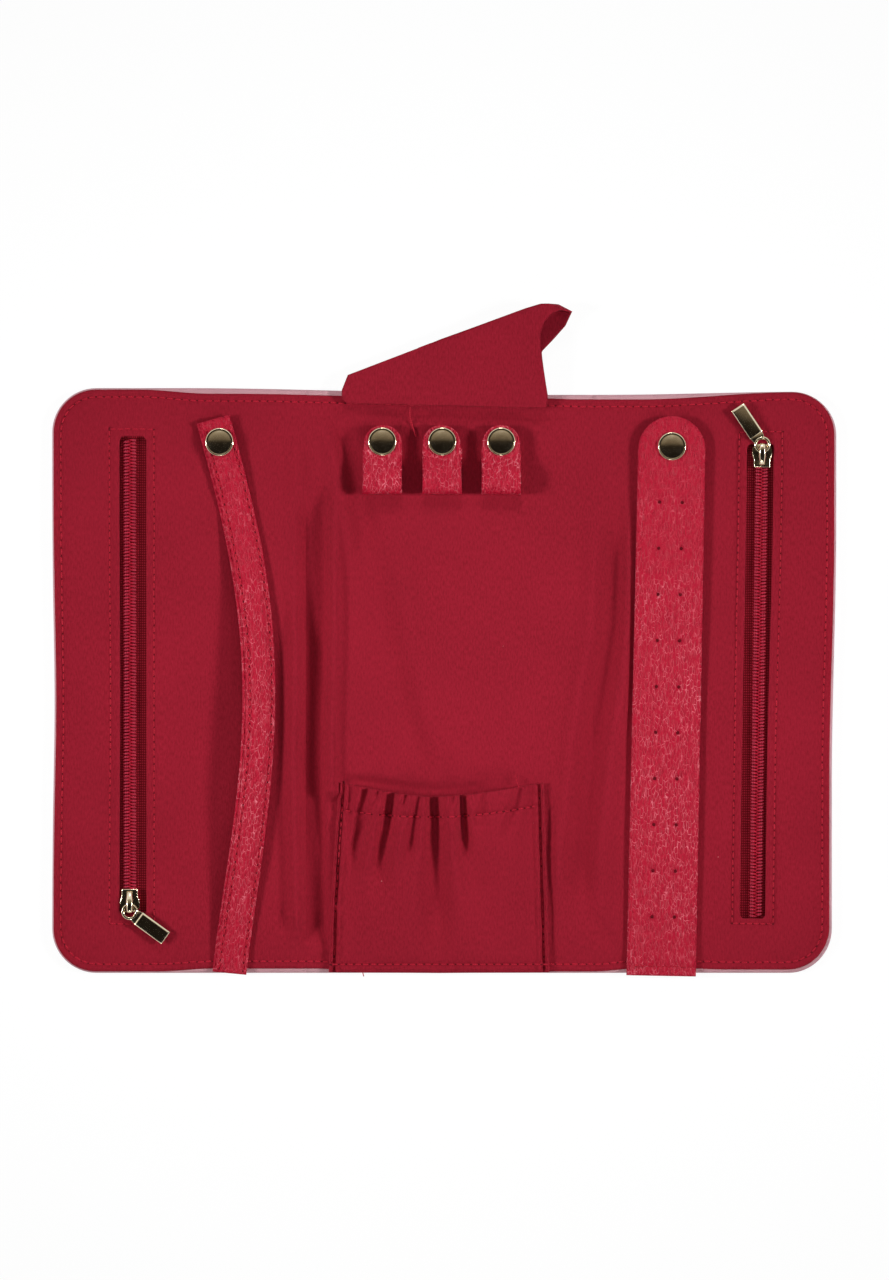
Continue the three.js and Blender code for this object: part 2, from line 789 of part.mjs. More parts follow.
// A leg's plan view: its width, with round corners at the top end
function legPlan(topY, radius) {
  const half = loopWidth / 2;
  const shape = new THREE.Shape();
  shape.moveTo(-half, loopBottomY - 1);
  shape.lineTo(half, loopBottomY - 1);
  shape.absarc(half - radius, topY - radius, radius, 0, Math.PI / 2, false);
  shape.absarc(-half + radius, topY - radius, radius, Math.PI / 2, Math.PI, false);
  return slab(shape, 0, aboveEverything, 5);
}

function loopLeg(points, topY, radius) {
  const strip = toSolid(acrossX(stripOutline(points, loopThickness), loopWidth + 2));
  return fromSolid(strip.intersect(toSolid(legPlan(topY, radius))));
}

function backLeg() {
  const splitAngle = THREE.MathUtils.radToDeg(foldGap / 2 / loopFoldRadius);
  const points = foldArc(180 + splitAngle, 270, 5);
  const backTopY = loopTopY - loopBackShortfall;
  points.push([backTopY + 1, loopBackMiddle]);
  return loopLeg(points, backTopY, loopBackShortfall);
}

function frontLeg() {
  const splitAngle = THREE.MathUtils.radToDeg(foldGap / 2 / loopFoldRadius);
  const points = foldArc(180 - splitAngle, loopEaseEnd, 6);
  const landing = loopSnapY - capRadius;
  const high = points[points.length - 1];
  const level = loopUnder + loopThickness / 2;
  const steps = 6;
  for (let i = 1; i <= steps; i += 1) {
    const t = i / steps;
    const y = high[0] + (landing - high[0]) * t;
    const ease = t * t * (3 - 2 * t) * 0.6 + t * 0.4;
    points.push([y, high[1] + (level - high[1]) * ease]);
  }
  points.push([loopTopY + 1, level]);
  return cut(loopLeg(points, loopTopY, loopWidth * 0.42), shankHole(0, loopSnapY));
}

loopXs.forEach((x, index) => {
  const number = index + 1;
  const place = addGroup(jewelleryCase, x, 0, 0);
  addMesh(place, `necklace_loop_${number}_back`, backLeg(), leatherette);
  addMesh(place, `necklace_loop_${number}_front`, frontLeg(), leatherette);
  const names = ["cap", "socket", "stud"].map((piece) => `necklace_loop_${number}_snap_${piece}`);
  addSnap(place, names, 0, loopSnapY, loopBackTop, loopUnder, loopOver);
});

// Sheet between an upper and a lower surface over the same grid, closed round its edge
function quilt(columns, rows, upper, lower) {
  const place = [];
  for (const surface of [upper, lower]) {
    for (let row = 0; row <= rows; row += 1) {
      for (let column = 0; column <= columns; column += 1) {
        place.push(...surface(column / columns, row / rows));
      }
    }
  }
  const at = (side, column, row) =>
    side * (columns + 1) * (rows + 1) + row * (columns + 1) + column;
  const face = [];
  const quad = (a, b, c, d) => face.push(a, b, c, a, c, d);
  for (let row = 0; row < rows; row += 1) {
    for (let column = 0; column < columns; column += 1) {
      quad(at(0, column, row), at(0, column + 1, row), at(0, column + 1, row + 1), at(0, column, row + 1));
      quad(at(1, column, row), at(1, column, row + 1), at(1, column + 1, row + 1), at(1, column + 1, row));
    }
  }
  for (let column = 0; column < columns; column += 1) {
    quad(at(0, column, 0), at(1, column, 0), at(1, column + 1, 0), at(0, column + 1, 0));
    quad(at(0, column + 1, rows), at(1, column + 1, rows), at(1, column, rows), at(0, column, rows));
  }
  for (let row = 0; row < rows; row += 1) {
    quad(at(0, 0, row + 1), at(1, 0, row + 1), at(1, 0, row), at(0, 0, row));
    quad(at(0, columns, row), at(1, columns, row), at(1, columns, row + 1), at(0, columns, row + 1));
  }
  const geometry = new THREE.BufferGeometry();
  geometry.setAttribute("position", new THREE.Float32BufferAttribute(place, 3));
  geometry.setIndex(face);
  return closedGeometry(geometry);
}

// Gathered pocket: cloth sewn down at its sides and bottom, drawn in by elastic at its mouth.
// The gathers are deepest at the mouth and run out towards the bottom hem.
const pocketWidth = pocketRight - pocketLeft;
const pocketFloor = liningTop + strapSeat;

function pocketRise(u, v) {
  const fromSide = Math.min(u, 1 - u) * pocketWidth;
  const side = THREE.MathUtils.smoothstep(fromSide, 0, pocketSideRun);
  const crown = pocketHemHeight + (pocketMouthHeight - pocketHemHeight) * (1 - v) ** 1.3;
  const folds = Math.sin(2 * Math.PI * gatherCount * u) * gatherDepth * (1 - v) ** 2;
  return side * (crown - pocketCloth + folds);
}

// Place of a point of the pocket in plan: u across it and v down from its mouth.
// The mouth is drawn in at its sides and dips in the middle.
function pocketPlan(u, v) {
  const draw = 1 - v;
  const left = pocketLeft + pocketMouthInsetLeft * draw;
  const right = pocketRight - pocketMouthInsetRight * draw;
  const dip = pocketMouthDip * Math.sin(Math.PI * u) * draw;
  return [left + (right - left) * u, pocketMouthY - pocketDepth * v - dip];
}

function pocketSurface(lift) {
  return (u, v) => [...pocketPlan(u, v), pocketFloor + pocketRise(u, v) + lift];
}

const pocket = quilt(48, 6, pocketSurface(pocketCloth), pocketSurface(0));
addMesh(jewelleryCase, "elastic_pocket", pocket, cloth);

// Elastic: a band that follows the underside of the pocket's mouth
function elasticSurface(lift) {
  const inset = elasticInset / pocketWidth;
  return (u, v) => {
    const across = inset + (1 - 2 * inset) * u;
    const down = (1 + elasticWidth * v) / pocketDepth;
    const plain = (pocketMouthHeight - pocketHemHeight) * (1 - down) ** 1.3 + pocketHemHeight;
    const folds = Math.sin(2 * Math.PI * gatherCount * across) * gatherDepth * (1 - down) ** 2;
    return [...pocketPlan(across, down), pocketFloor + plain - pocketCloth + folds - layerGap - lift];
  };
}

const elastic = quilt(40, 1, elasticSurface(0), elasticSurface(elasticThickness));
addMesh(jewelleryCase, "pocket_elastic", elastic, elasticWhite);

// Necklace flap: a doubled cloth panel, sewn along the top and folded up into a slanting point.
// It droops from the top edge towards the table and rolls over at its tip.
function flapSurface(side) {
  return (u, v) => {
    const hingeX = flapLeftX + flapWidthAtHinge * u;
    const topX = flapLeftX + 2 + (flapTipX - flapLeftX - 2) * u;
    const waist = -flapTipWaist * Math.sin(Math.PI * v) * u ** 4;
    const climb = Math.min(u / flapPeakShare, 1);
    const reach = flapLeftReach + (flapReach - flapLeftReach) * (1.5 * climb - 0.5 * climb ** 2.5);
    const puff = flapPuff * Math.sin(Math.PI * Math.min(v * 1.1, 1)) * (0.35 + 0.65 * u);
    const y = flapHingeY + reach * v;
    const low = liningTop + flapLift - flapDroop * (y - flapHingeY);
    return [
      hingeX + (topX - hingeX) * v + waist,
      y,
      low + (side === 0 ? flapThickness + puff : 0),
    ];
  };
}

addMesh(jewelleryCase, "necklace_flap", quilt(20, 6, flapSurface(0), flapSurface(1)), cloth);

export default jewelleryCase;
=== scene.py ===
# Folding travel jewellery case, open on a table with its red lining up.
import math
import random

import bmesh
import bpy
from mathutils import Matrix, Vector, noise


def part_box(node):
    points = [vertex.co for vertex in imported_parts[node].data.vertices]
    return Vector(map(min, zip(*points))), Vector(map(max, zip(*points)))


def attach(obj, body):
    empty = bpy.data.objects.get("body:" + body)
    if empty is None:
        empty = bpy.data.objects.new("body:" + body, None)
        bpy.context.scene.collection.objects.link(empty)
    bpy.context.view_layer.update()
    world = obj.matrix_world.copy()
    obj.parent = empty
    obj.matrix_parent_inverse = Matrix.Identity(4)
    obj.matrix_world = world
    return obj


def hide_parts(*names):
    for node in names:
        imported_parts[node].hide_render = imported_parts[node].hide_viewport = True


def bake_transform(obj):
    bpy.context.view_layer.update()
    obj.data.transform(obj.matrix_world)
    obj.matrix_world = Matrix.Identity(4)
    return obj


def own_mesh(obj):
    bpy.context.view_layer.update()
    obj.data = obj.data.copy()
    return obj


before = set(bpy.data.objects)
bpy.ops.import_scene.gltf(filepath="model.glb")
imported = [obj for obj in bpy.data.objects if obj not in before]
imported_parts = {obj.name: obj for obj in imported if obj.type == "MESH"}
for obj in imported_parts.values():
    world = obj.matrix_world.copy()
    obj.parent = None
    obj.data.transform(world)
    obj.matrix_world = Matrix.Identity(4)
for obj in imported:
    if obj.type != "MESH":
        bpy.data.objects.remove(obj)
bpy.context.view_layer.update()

mm = 0.001
random.seed(7)


# Outer cover
# One piece of blush leatherette wraps the back of the case. Its free edges
# turn up round the padding and over, where the lining is stitched to them.
case_half_width = 151.1
case_half_height = 112.6
corner_radius = 17.0
left_wing_fold = -59.5
left_spine_fold = -47.2
right_spine_fold = 46.3
right_wing_fold = 68.3
left_spine_middle = (left_wing_fold + left_spine_fold) / 2
right_spine_middle = (right_wing_fold + right_spine_fold) / 2

# Each panel piece: its ends along X, the bodies on either side of its fold,
# and the stretch of spine in which it bends
panel_pieces = {
    "left_wing": (-case_half_width, left_spine_middle, "left_spine", "left_wing",
                  left_spine_middle, left_wing_fold),
    "centre_left": (left_spine_middle, 0.0, "centre_panel", "left_spine",
                    left_spine_fold, left_spine_middle),
    "centre_right": (0.0, right_spine_middle, "centre_panel", "right_spine",
                     right_spine_fold, right_spine_middle),
    "right_wing": (right_spine_middle, case_half_width, "right_spine", "right_wing",
                   right_spine_middle, right_wing_fold),
}

# The part of the CAD's cover and lining that each panel piece replaces
cad_parts = {"left_wing": ["left"], "centre_left": ["spine_left"], "centre_right": ["centre"],
             "right_wing": ["right", "spine_right"]}


def smooth(value, low, high):
    """0 up to low, 1 from high on, and a soft S between."""
    share = min(max((value - low) / (high - low), 0.0), 1.0)
    return share * share * (3 - 2 * share)


def ridge(value, middle, half_width):
    """Bell curve: 1 at its middle, fading on both sides."""
    return math.exp(-((value - middle) / half_width) ** 2)


def drift(x, y, z):
    """Smooth random value of a place, between -1 and 1."""
    return noise.noise(Vector((x, y, z)))


def outward(x, y):
    """Direction in plan from the case's middle out through its nearest edge."""
    beyond_x = max(abs(x) - (case_half_width - corner_radius), 0.0)
    beyond_y = max(abs(y) - (case_half_height - corner_radius), 0.0)
    way = Vector((math.copysign(beyond_x, x), math.copysign(beyond_y, y), 0.0))
    return way.normalized() if way.length > 0 else Vector((0, 0, 0))


def edge_distance(x, y):
    """How far a place in plan lies inside the outline with its round corners."""
    beyond_x = abs(x) - (case_half_width - corner_radius)
    beyond_y = abs(y) - (case_half_height - corner_radius)
    if beyond_x > 0 and beyond_y > 0:
        return corner_radius - math.hypot(beyond_x, beyond_y)
    return corner_radius - max(beyond_x, beyond_y)


def unit_grid(columns, rows):
    """Flat grid, one unit across and one along, to be shaped point by point."""
    bm = bmesh.new()
    bmesh.ops.create_grid(bm, x_segments=columns, y_segments=rows, size=0.5)
    return bm


def panel_sheet(left, right, inset, cell):
    """Flat sheet from left to right, its outer corners round, drawn in from the edge."""
    round_left = left == -case_half_width
    round_right = right == case_half_width
    corner_columns = 16
    plain = right - left - (corner_radius if round_left or round_right else 0)
    plain_columns = round(plain / cell)
    extra = corner_columns if round_left or round_right else 0
    columns = plain_columns + extra
    bm = unit_grid(columns, round(2 * case_half_height / cell))
    radius = corner_radius - inset
    half_height = case_half_height - inset
    for v in bm.verts:
        step = (v.co.x + 0.5) * columns
        if round_left:
            step = columns - step
        drop = 0.0
        if extra and step > plain_columns:
            turn = (step - plain_columns) / corner_columns * math.pi / 2
            place = plain + radius * math.sin(turn)
            drop = radius * (1 - math.cos(turn))
        else:
            place = plain * step / plain_columns
        x = right - place if round_left else left + place
        y = v.co.y * 2 * (half_height - drop)
        v.co = Vector((x, y, 0.0))
    return bm


def free_edges(bm, left, right):
    """Boundary edges on the case's outline, and not on a cut between two pieces."""
    found = []
    for edge in bm.edges:
        if not edge.is_boundary:
            continue
        x = edge_middle(edge).x
        on_left_cut = left > -case_half_width and abs(x - left) < 0.01
        on_right_cut = right < case_half_width and abs(x - right) < 0.01
        if not on_left_cut and not on_right_cut:
            found.append(edge)
    return found


def edge_middle(edge):
    """Point halfway along an edge."""
    return (edge.verts[0].co + edge.verts[1].co) / 2


def verts_in(geometry):
    """The vertices among what an operator returns."""
    return [g for g in geometry if isinstance(g, bmesh.types.BMVert)]


def turn_edge(bm, edges, steps, direction):
    """Extrude an edge through a list of (out, up) steps."""
    for out, up in steps:
        made = bmesh.ops.extrude_edge_only(bm, edges=edges)["geom"]
        edges = [g for g in made if isinstance(g, bmesh.types.BMEdge)]
        for v in verts_in(made):
            v.co += direction(v.co.x, v.co.y) * out + Vector((0, 0, up))


def finished(bm, name, material, shade=True):
    """Turn a bmesh in millimetres into an object in metres at the origin."""
    bmesh.ops.scale(bm, vec=(mm, mm, mm), verts=bm.verts)
    mesh = bpy.data.meshes.new(name)
    bm.to_mesh(mesh)
    bm.free()
    if shade:
        mesh.shade_smooth()
    mesh.materials.append(material)
    piece = bpy.data.objects.new(name, mesh)
    bpy.context.collection.objects.link(piece)
    return piece


def thicken(piece, thickness, offset):
    """Give a sheet its thickness, on both sides at offset 0 and on the far side at -1."""
    solidify = piece.modifiers.new("thickness", "SOLIDIFY")
    solidify.thickness = thickness * mm
    solidify.offset = offset
    bpy.context.view_layer.update()
    evaluated = piece.evaluated_get(bpy.context.evaluated_depsgraph_get())
    mesh = bpy.data.meshes.new_from_object(evaluated)
    piece.modifiers.clear()
    piece.data = mesh


def feed(node, inputs):
    """Set a node's inputs: each is a value, or another node's output to link."""
    for name, value in inputs.items():
        if isinstance(value, bpy.types.NodeSocket):
            node.id_data.links.new(value, node.inputs[name])
        else:
            node.inputs[name].default_value = value


def add_node(tree, kind, inputs, **settings):
    """Add a shader node with its settings and its inputs."""
    node = tree.nodes.new("ShaderNode" + kind)
    for name, value in settings.items():
        setattr(node, name, value)
    feed(node, inputs)
    return node


def maths(tree, operation, *values, kind="Math"):
    """Result of a Math or VectorMath node on values or on other nodes' outputs."""
    return add_node(tree, kind, dict(enumerate(values)), operation=operation).outputs[0]


def noise_texture(tree, place, scale, detail, **inputs):
    """Outputs of a cloudy noise."""
    inputs = {"Vector": place, "Scale": scale, "Detail": detail, **inputs}
    return add_node(tree, "TexNoise", inputs).outputs


def ranged(tree, value, low, high, to_low=0.0, to_high=1.0, kind="LINEAR"):
    """A value brought from one range to another, and held inside it."""
    inputs = {"Value": value, "From Min": low, "From Max": high, "To Min": to_low, "To Max": to_high}
    return add_node(tree, "MapRange", inputs, interpolation_type=kind).outputs["Result"]


def rgba(colour, scale=1.0):
    """A colour made darker or lighter, as a node takes it."""
    return (*[min(c * scale, 1) for c in colour], 1)


def mixed(tree, share, first, second):
    """Colour between two others, each a colour or another node's output."""
    inputs = {"Factor": share, "A": first, "B": second}
    return add_node(tree, "Mix", inputs, data_type="RGBA").outputs["Result"]


def bumped(tree, height, distance, strength=1.0):
    """Normal of a surface that a height raises by a distance in metres."""
    inputs = {"Strength": strength, "Distance": distance, "Height": height}
    return add_node(tree, "Bump", inputs).outputs["Normal"]


def texture_place(tree, kind):
    """Texture coordinates, by UV map or by Object."""
    return add_node(tree, "TexCoord", {}).outputs[kind]


def new_material(name):
    """Material with its node tree and its shader."""
    material = bpy.data.materials.new(name)
    material.use_nodes = True
    return material, material.node_tree, material.node_tree.nodes["Principled BSDF"]


def new_group(name, inputs, outputs):
    """Shader node group with the outputs of its inlet and with its outlet node."""
    group = bpy.data.node_groups.new(name, "ShaderNodeTree")
    for label, kind in inputs.items():
        group.interface.new_socket(name=label, in_out="INPUT", socket_type=kind)
    for label in outputs:
        group.interface.new_socket(name=label, in_out="OUTPUT", socket_type="NodeSocketFloat")
    return group, group.nodes.new("NodeGroupInput").outputs, group.nodes.new("NodeGroupOutput")


def make_grain_group():
    """Pebbled leatherette: raised cells of two sizes with broken crease lines between them."""
    group, inlet, outlet = new_group(
        "leatherette grain", {"Vector": "NodeSocketVector", "Cell size": "NodeSocketFloat",
                              "Stretch": "NodeSocketFloat"}, ("Height", "Crease"))
    stretch = add_node(group, "CombineXYZ", {"X": inlet["Stretch"], "Y": 1.0, "Z": 1.0})
    scaled = maths(group, "MULTIPLY", inlet["Vector"], stretch.outputs[0], kind="VectorMath")
    bend = noise_texture(group, scaled, 420.0, 2.0)["Color"]
    pushed = maths(group, "MULTIPLY_ADD", bend, (0.0009, 0.0009, 0.0009), scaled, kind="VectorMath")
    cells = add_node(group, "TexVoronoi", {"Vector": pushed, "Scale": inlet["Cell size"]},
                     feature="DISTANCE_TO_EDGE").outputs["Distance"]
    pebble = ranged(group, cells, 0.0, 0.42, kind="SMOOTHSTEP")
    small_scale = maths(group, "MULTIPLY", inlet["Cell size"], 2.6)
    small = add_node(group, "TexVoronoi", {"Vector": pushed, "Scale": small_scale}, feature="SMOOTH_F1")
    on_line = ranged(group, cells, 0.0, 0.064, 1.0, 0.0, kind="SMOOTHSTEP")
    kept = ranged(group, noise_texture(group, scaled, 250.0, 1.0)["Fac"], 0.36, 0.64)
    feed(outlet, {"Height": maths(group, "MULTIPLY_ADD", small.outputs["Distance"], -0.06, pebble),
                  "Crease": maths(group, "MULTIPLY", on_line, kept)})
    return group


grain_group = make_grain_group()


def leatherette(name, colour, crease_tone_and_highlight, cell_size, depth, roughness, stretch=1.0):
    """Coated fabric with an embossed grain, less creased away from a strap's foot; a crease colour paler
    than the leather is a painted highlight.
    """
    material, tree, shader = new_material(name)
    place = texture_place(tree, "UV")
    grain = add_node(tree, "Group", {"Vector": place, "Cell size": cell_size, "Stretch": stretch},
                     node_tree=grain_group).outputs
    patches = noise_texture(tree, place, 26.0, 3.0)["Fac"]
    tone = mixed(tree, patches, rgba(colour, 0.93), rgba(colour, 1.08))
    along = add_node(tree, "SeparateXYZ", {0: place}).outputs["Y"]
    from_foot = ranged(tree, along, 0.11, 0.19, 1.0, 0.3)
    # Share of the crease lines that take the crease colour: on the red leatherette a painted highlight
    painted_crease_share = maths(tree, "MULTIPLY", ranged(tree, patches, 0.36, 0.66, 0.25), from_foot)
    crease = maths(tree, "MULTIPLY", grain["Crease"], painted_crease_share)
    feed(shader, {"Roughness": roughness, "Specular IOR Level": 0.12,
                  "Base Color": mixed(tree, crease, tone, rgba(crease_tone_and_highlight)),
                  "Normal": bumped(tree, grain["Height"], depth * mm)})
    return material


def plan_uv(piece):
    """Lay the piece's UV map out in plan, so that one unit is one metre."""
    layer = piece.data.uv_layers.new(name="UVMap")
    vertices = piece.data.vertices
    for loop in piece.data.loops:
        place = vertices[loop.vertex_index].co
        layer.data[loop.index].uv = (place.x, place.y)


cover_leatherette = leatherette(
    "blush leatherette", (0.62, 0.33, 0.37), (0.50, 0.25, 0.29), 1100.0, 0.12, 0.55)

cover_inset = 3.0
cover_rim = [(1.5, 0.05), (0.7, 0.25), (0.45, 0.55), (0.0, 0.65), (-0.35, 0.4),
             (-0.6, 0.2), (-0.9, -0.02), (-0.9, -0.15)]
cover_bottom = 0.45


def cover_wave(x, y):
    """The cover's top edge sags between the wings, and its sides stand in a little."""
    sag = 2.6 * smooth(x, -100, 40) - 1.2 * smooth(x, 60, 140)
    left_in = 0.9 * smooth(-x, 110, case_half_width) * ridge(y, -8, 42)
    right_in = smooth(x, 100, case_half_width) * (0.2 + 1.7 * smooth(-y, -60, 40))
    return Vector((left_in - right_in, -sag * smooth(y, 60, case_half_height), 0))


for name, (left, right, near, far, bend_start, bend_end) in panel_pieces.items():
    bm = panel_sheet(left, right, cover_inset, 2.5)
    for v in bm.verts:
        v.co.z = cover_bottom
    turn_edge(bm, free_edges(bm, left, right), cover_rim, outward)
    for v in bm.verts:
        v.co += cover_wave(v.co.x, v.co.y)
    cover = finished(bm, f"cover_{name}", cover_leatherette)
    thicken(cover, 0.85, 0.0)
    plan_uv(cover)
    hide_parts(*[f"outer_cover_{part}" for part in cad_parts[name]])
    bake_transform(cover)


# Lining
# Red cotton twill, sewn to the cover close to its edge. It is a little loose,
# so it creases at the spines, and it has a faced window over each zip.
lining_top = 3.8
stitch_inset = 3.4
window_width = 10.8
window_length = 184.6
windows = {
    "left": {"centre": Vector((-119.9, 1.9, 0)), "turn": 0.0},
    "right": {"centre": Vector((120.5, 0.0, 0)), "turn": math.radians(-0.78)},
}
window_frames = {"left": (-129.0, -111.8, -93.7, 96.8), "right": (112.3, 129.0, -94.1, 96.8)}
ring_strap_foot = -115.0
ring_strap_run = 215.5

# Creases: the line each one follows, its half width and its depth
creases = [
    ([(-57.5, 104), (-57.0, 70), (-55.5, 36), (-53, 10)], 3.8, -3.2),
    ([(-60.5, 30), (-57, -10), (-55.5, -50)], 6.0, -0.35),
    ([(-62.5, -86), (-59.5, -93), (-57, -101)], 1.8, -0.8),
    ([(-55, -88), (-56, -99)], 1.6, 0.35),
    ([(-21, 70), (-14, 22), (-6, -16), (3, -39)], 5.5, 2.2),
    ([(-30, 70), (-24, 20), (-16, -14), (-6, -37)], 5.0, -1.5),
    ([(66.0, 84), (66.0, 50), (64.7, 21), (56.8, -27), (52.6, -65), (52, -96)], 3.4, -3.4),
    ([(54, 66), (51, 10), (46, -30)], 7.0, 0.8),
    ([(64, 107), (66.5, 96), (69, 82)], 1.6, -0.7),
    ([(-43, 110), (-38, 104), (-34, 99)], 1.5, -0.8),
    ([(-44, 107), (-38, 95), (-34, 82), (-32, 70), (-31, 58), (-30, 40)], 3.6, -3.0),
    ([(-50, 107), (-45, 95), (-41.5, 82), (-39.5, 70), (-38, 58), (-37, 40)], 3.0, 1.6),
    ([(-37, 96), (-30, 91), (-22, 88)], 2.2, 0.35),
    ([(50, -60), (55, -86), (60, -97), (67, -104)], 3.0, -0.7),
    ([(57, -84), (63, -94), (68, -101)], 2.0, 0.4),
    ([(-99, 100), (-92, 103), (-84, 106)], 2.6, 0.4),
    ([(-106.5, 110), (-106, 98)], 1.4, -0.4),
    ([(57.5, 84), (57.5, 50), (56, 21), (48, -27), (44, -65), (43.5, -96)], 3.6, 2.3),
    ([(73, 84), (73, 50), (72, 21), (64.6, -27), (60.4, -65), (60, -96)], 3.4, 2.0),
    ([(-46, -37.6), (-30, -39.6), (-12, -42.6), (4, -43.2), (20, -41.4)], 2.4, -2.6),
    ([(-42, 105.4), (0, 104.6), (26, 104.0), (44, 103.7)], 1.5, -2.2),
    ([(-41.9, -38), (-43.0, -60), (-44.7, -85), (-45.7, -112)], 0.8, -1.8),
    ([(39.5, -38), (40.2, -60), (40.9, -85), (41.7, -112)], 0.8, -1.8),
]


def distance_to_line(x, y, line):
    """Distance from a place to a line of points, and the share along the line."""
    best, share = 1e9, 0.0
    count = len(line) - 1
    for i in range(count):
        (ax, ay), (bx, by) = line[i], line[i + 1]
        run = (bx - ax) ** 2 + (by - ay) ** 2
        t = min(max(((x - ax) * (bx - ax) + (y - ay) * (by - ay)) / run, 0.0), 1.0)
        away = math.hypot(x - ax - t * (bx - ax), y - ay - t * (by - ay))
        if away < best:
            best, share = away, (i + t) / count
    return best, share


def ring_strap_centre(t):
    """The ring strap's middle line in plan, from its foot at 0 to its end at 1."""
    x = -82.9 - 6.0 * t + 14.6 * math.sin(math.pi * t ** 1.15)
    return x, ring_strap_foot + ring_strap_run * t


def pressed(x, y):
    """How far the things that lie on the lining hold it down, from 0 to 1."""
    t = (y - ring_strap_foot) / ring_strap_run
    ring = 1 - smooth(abs(x - ring_strap_centre(t)[0]), 6.5, 10.5) if 0 <= t <= 1 else 0
    earring = 1 - smooth(abs(x - 83.7 - 0.018 * (y + 113)), 13, 16.5)
    loops = (1 - smooth(abs(x + 1), 32, 35)) * (1 - smooth(abs(y - 84), 13.5, 17))
    pocket = (1 - smooth(abs(x + 2), 42, 45)) * (1 - smooth(abs(y + 79.5), 33.5, 36.5))
    return max(ring, earring, loops, pocket)


def window_place(x, y, side):
    """A place as the zip window has it: x across it and y along it, from its middle."""
    window = windows[side]
    return Matrix.Rotation(-window["turn"], 3, "Z") @ (Vector((x, y, 0)) - window["centre"])


def window_distance(x, y, side):
    """Distance outside a zip window's edge; inside it is negative."""
    place = window_place(x, y, side)
    return max(abs(place.x) - window_width / 2, abs(place.y) - window_length / 2)


def pucker(x, along, away):
    """Small tucks that run in from a line of stitches."""
    return 0.3 * drift(along / 4.0, 3.1, x * 0.01) * math.exp(-abs(away) / 3.5)


def spine_step(x, y):
    """The centre's edge stands up, and the cloth beside it drops into the left spine."""
    step = -45.8 + 0.5 * math.sin(y / 19) + 0.7 * smooth(y, 40, 80)
    fall = 1 - smooth(x, step - 1.6, step + 1.4)
    back = smooth(x, step - 10.6, step - 6.4)
    reach = smooth(y, -106, -92) * (1 - smooth(y, 56, 82))
    crown = 3.6 * ridge(x - step, 3.0, 2.2) + 3.8 * ridge(x - step, -11.8, 2.8)
    return reach * (crown - 5.0 * fall * back * (0.9 + 0.1 * math.sin(y / 11)))


def lining_height(x, y):
    """Height of the lining: its padding, slack and creases, its seams, and what holds it down."""
    edge = edge_distance(x, y)
    rise = 0.6 * smooth(edge, stitch_inset, 16)
    rise += 0.65 * drift(x / 30, y / 46, 0.3) + 0.16 * drift(x / 11, y / 17, 4.2)
    rise += spine_step(x, y)
    for line, half_width, depth in creases:
        low_x = min(p[0] for p in line) - 3 * half_width
        high_x = max(p[0] for p in line) + 3 * half_width
        if not low_x < x < high_x:
            continue
        away, share = distance_to_line(x, y, line)
        if away < 3 * half_width:
            fade = smooth(share, 0, 0.25) * (1 - smooth(share, 0.8, 1.0))
            rise += depth * fade * ridge(away, 0, half_width)
    along = x if abs(y) > abs(x) * 0.75 else y
    rise += pucker(x, along, edge - stitch_inset)
    for side in ("left", "right"):
        away = window_distance(x, y, side)
        if away < 20:
            left, right, bottom, top = window_frames[side]
            frame_away = min(abs(x - left), abs(x - right)) if bottom < y < top else 9
            if left < x < right:
                frame_away = min(frame_away, abs(y - bottom), abs(y - top))
            rise -= 0.3 * ridge(frame_away, 0, 0.8)
            rise += pucker(x + 40, y, frame_away)
            rise += 1.0 * (1 - smooth(away, 0, 4))
    hold = pressed(x, y)
    rise = min(rise, 0.15) * hold + rise * (1 - hold)
    rise -= 0.45 * ridge(edge, stitch_inset, 0.9)
    rise -= 0.4 * (1 - smooth(edge, 0.6, 2.0))
    over_left = min(x - left_wing_fold, left_spine_fold + 2.2 - x)
    over_right = min(x - right_spine_fold, right_wing_fold - x)
    from_zip = min(window_distance(x, y, "left"), window_distance(x, y, "right"))
    deepest = 0.5 + 1.0 * smooth(from_zip, 9, 14) * smooth(edge, 4, 8)
    deepest += 1.0 * smooth(max(over_left, over_right), -0.8, 1.2) * smooth(edge, 4, 9)
    if rise < 0:
        rise = -deepest * math.tanh(-rise / deepest)
    return lining_top + rise


def lining_shift(x, y):
    """How far the soft edges stand in from the case's straight outline."""
    up = smooth(y, 55, case_half_height)
    down = smooth(-y, 55, case_half_height)
    top_sag = 1.6 * smooth(x, -118, -90) + 1.3 * smooth(x, -80, -10) + 0.9 * smooth(x, 20, 55)
    top_sag -= 2.8 * smooth(x, 75, 135)
    bottom_sag = 1.1 * smooth(x, -110, -90) * (1 - smooth(x, -50, -30))
    bottom_sag += 1.2 * smooth(x, 58, 75) - 0.5 * smooth(x, 90, 110)
    left_in = smooth(-x, 110, case_half_width) * ridge(y, -8, 42)
    right_in = smooth(x, 100, case_half_width) * (0.4 + 1.9 * smooth(-y, -60, 40))
    return Vector((left_in - right_in, bottom_sag * down - top_sag * up, 0))


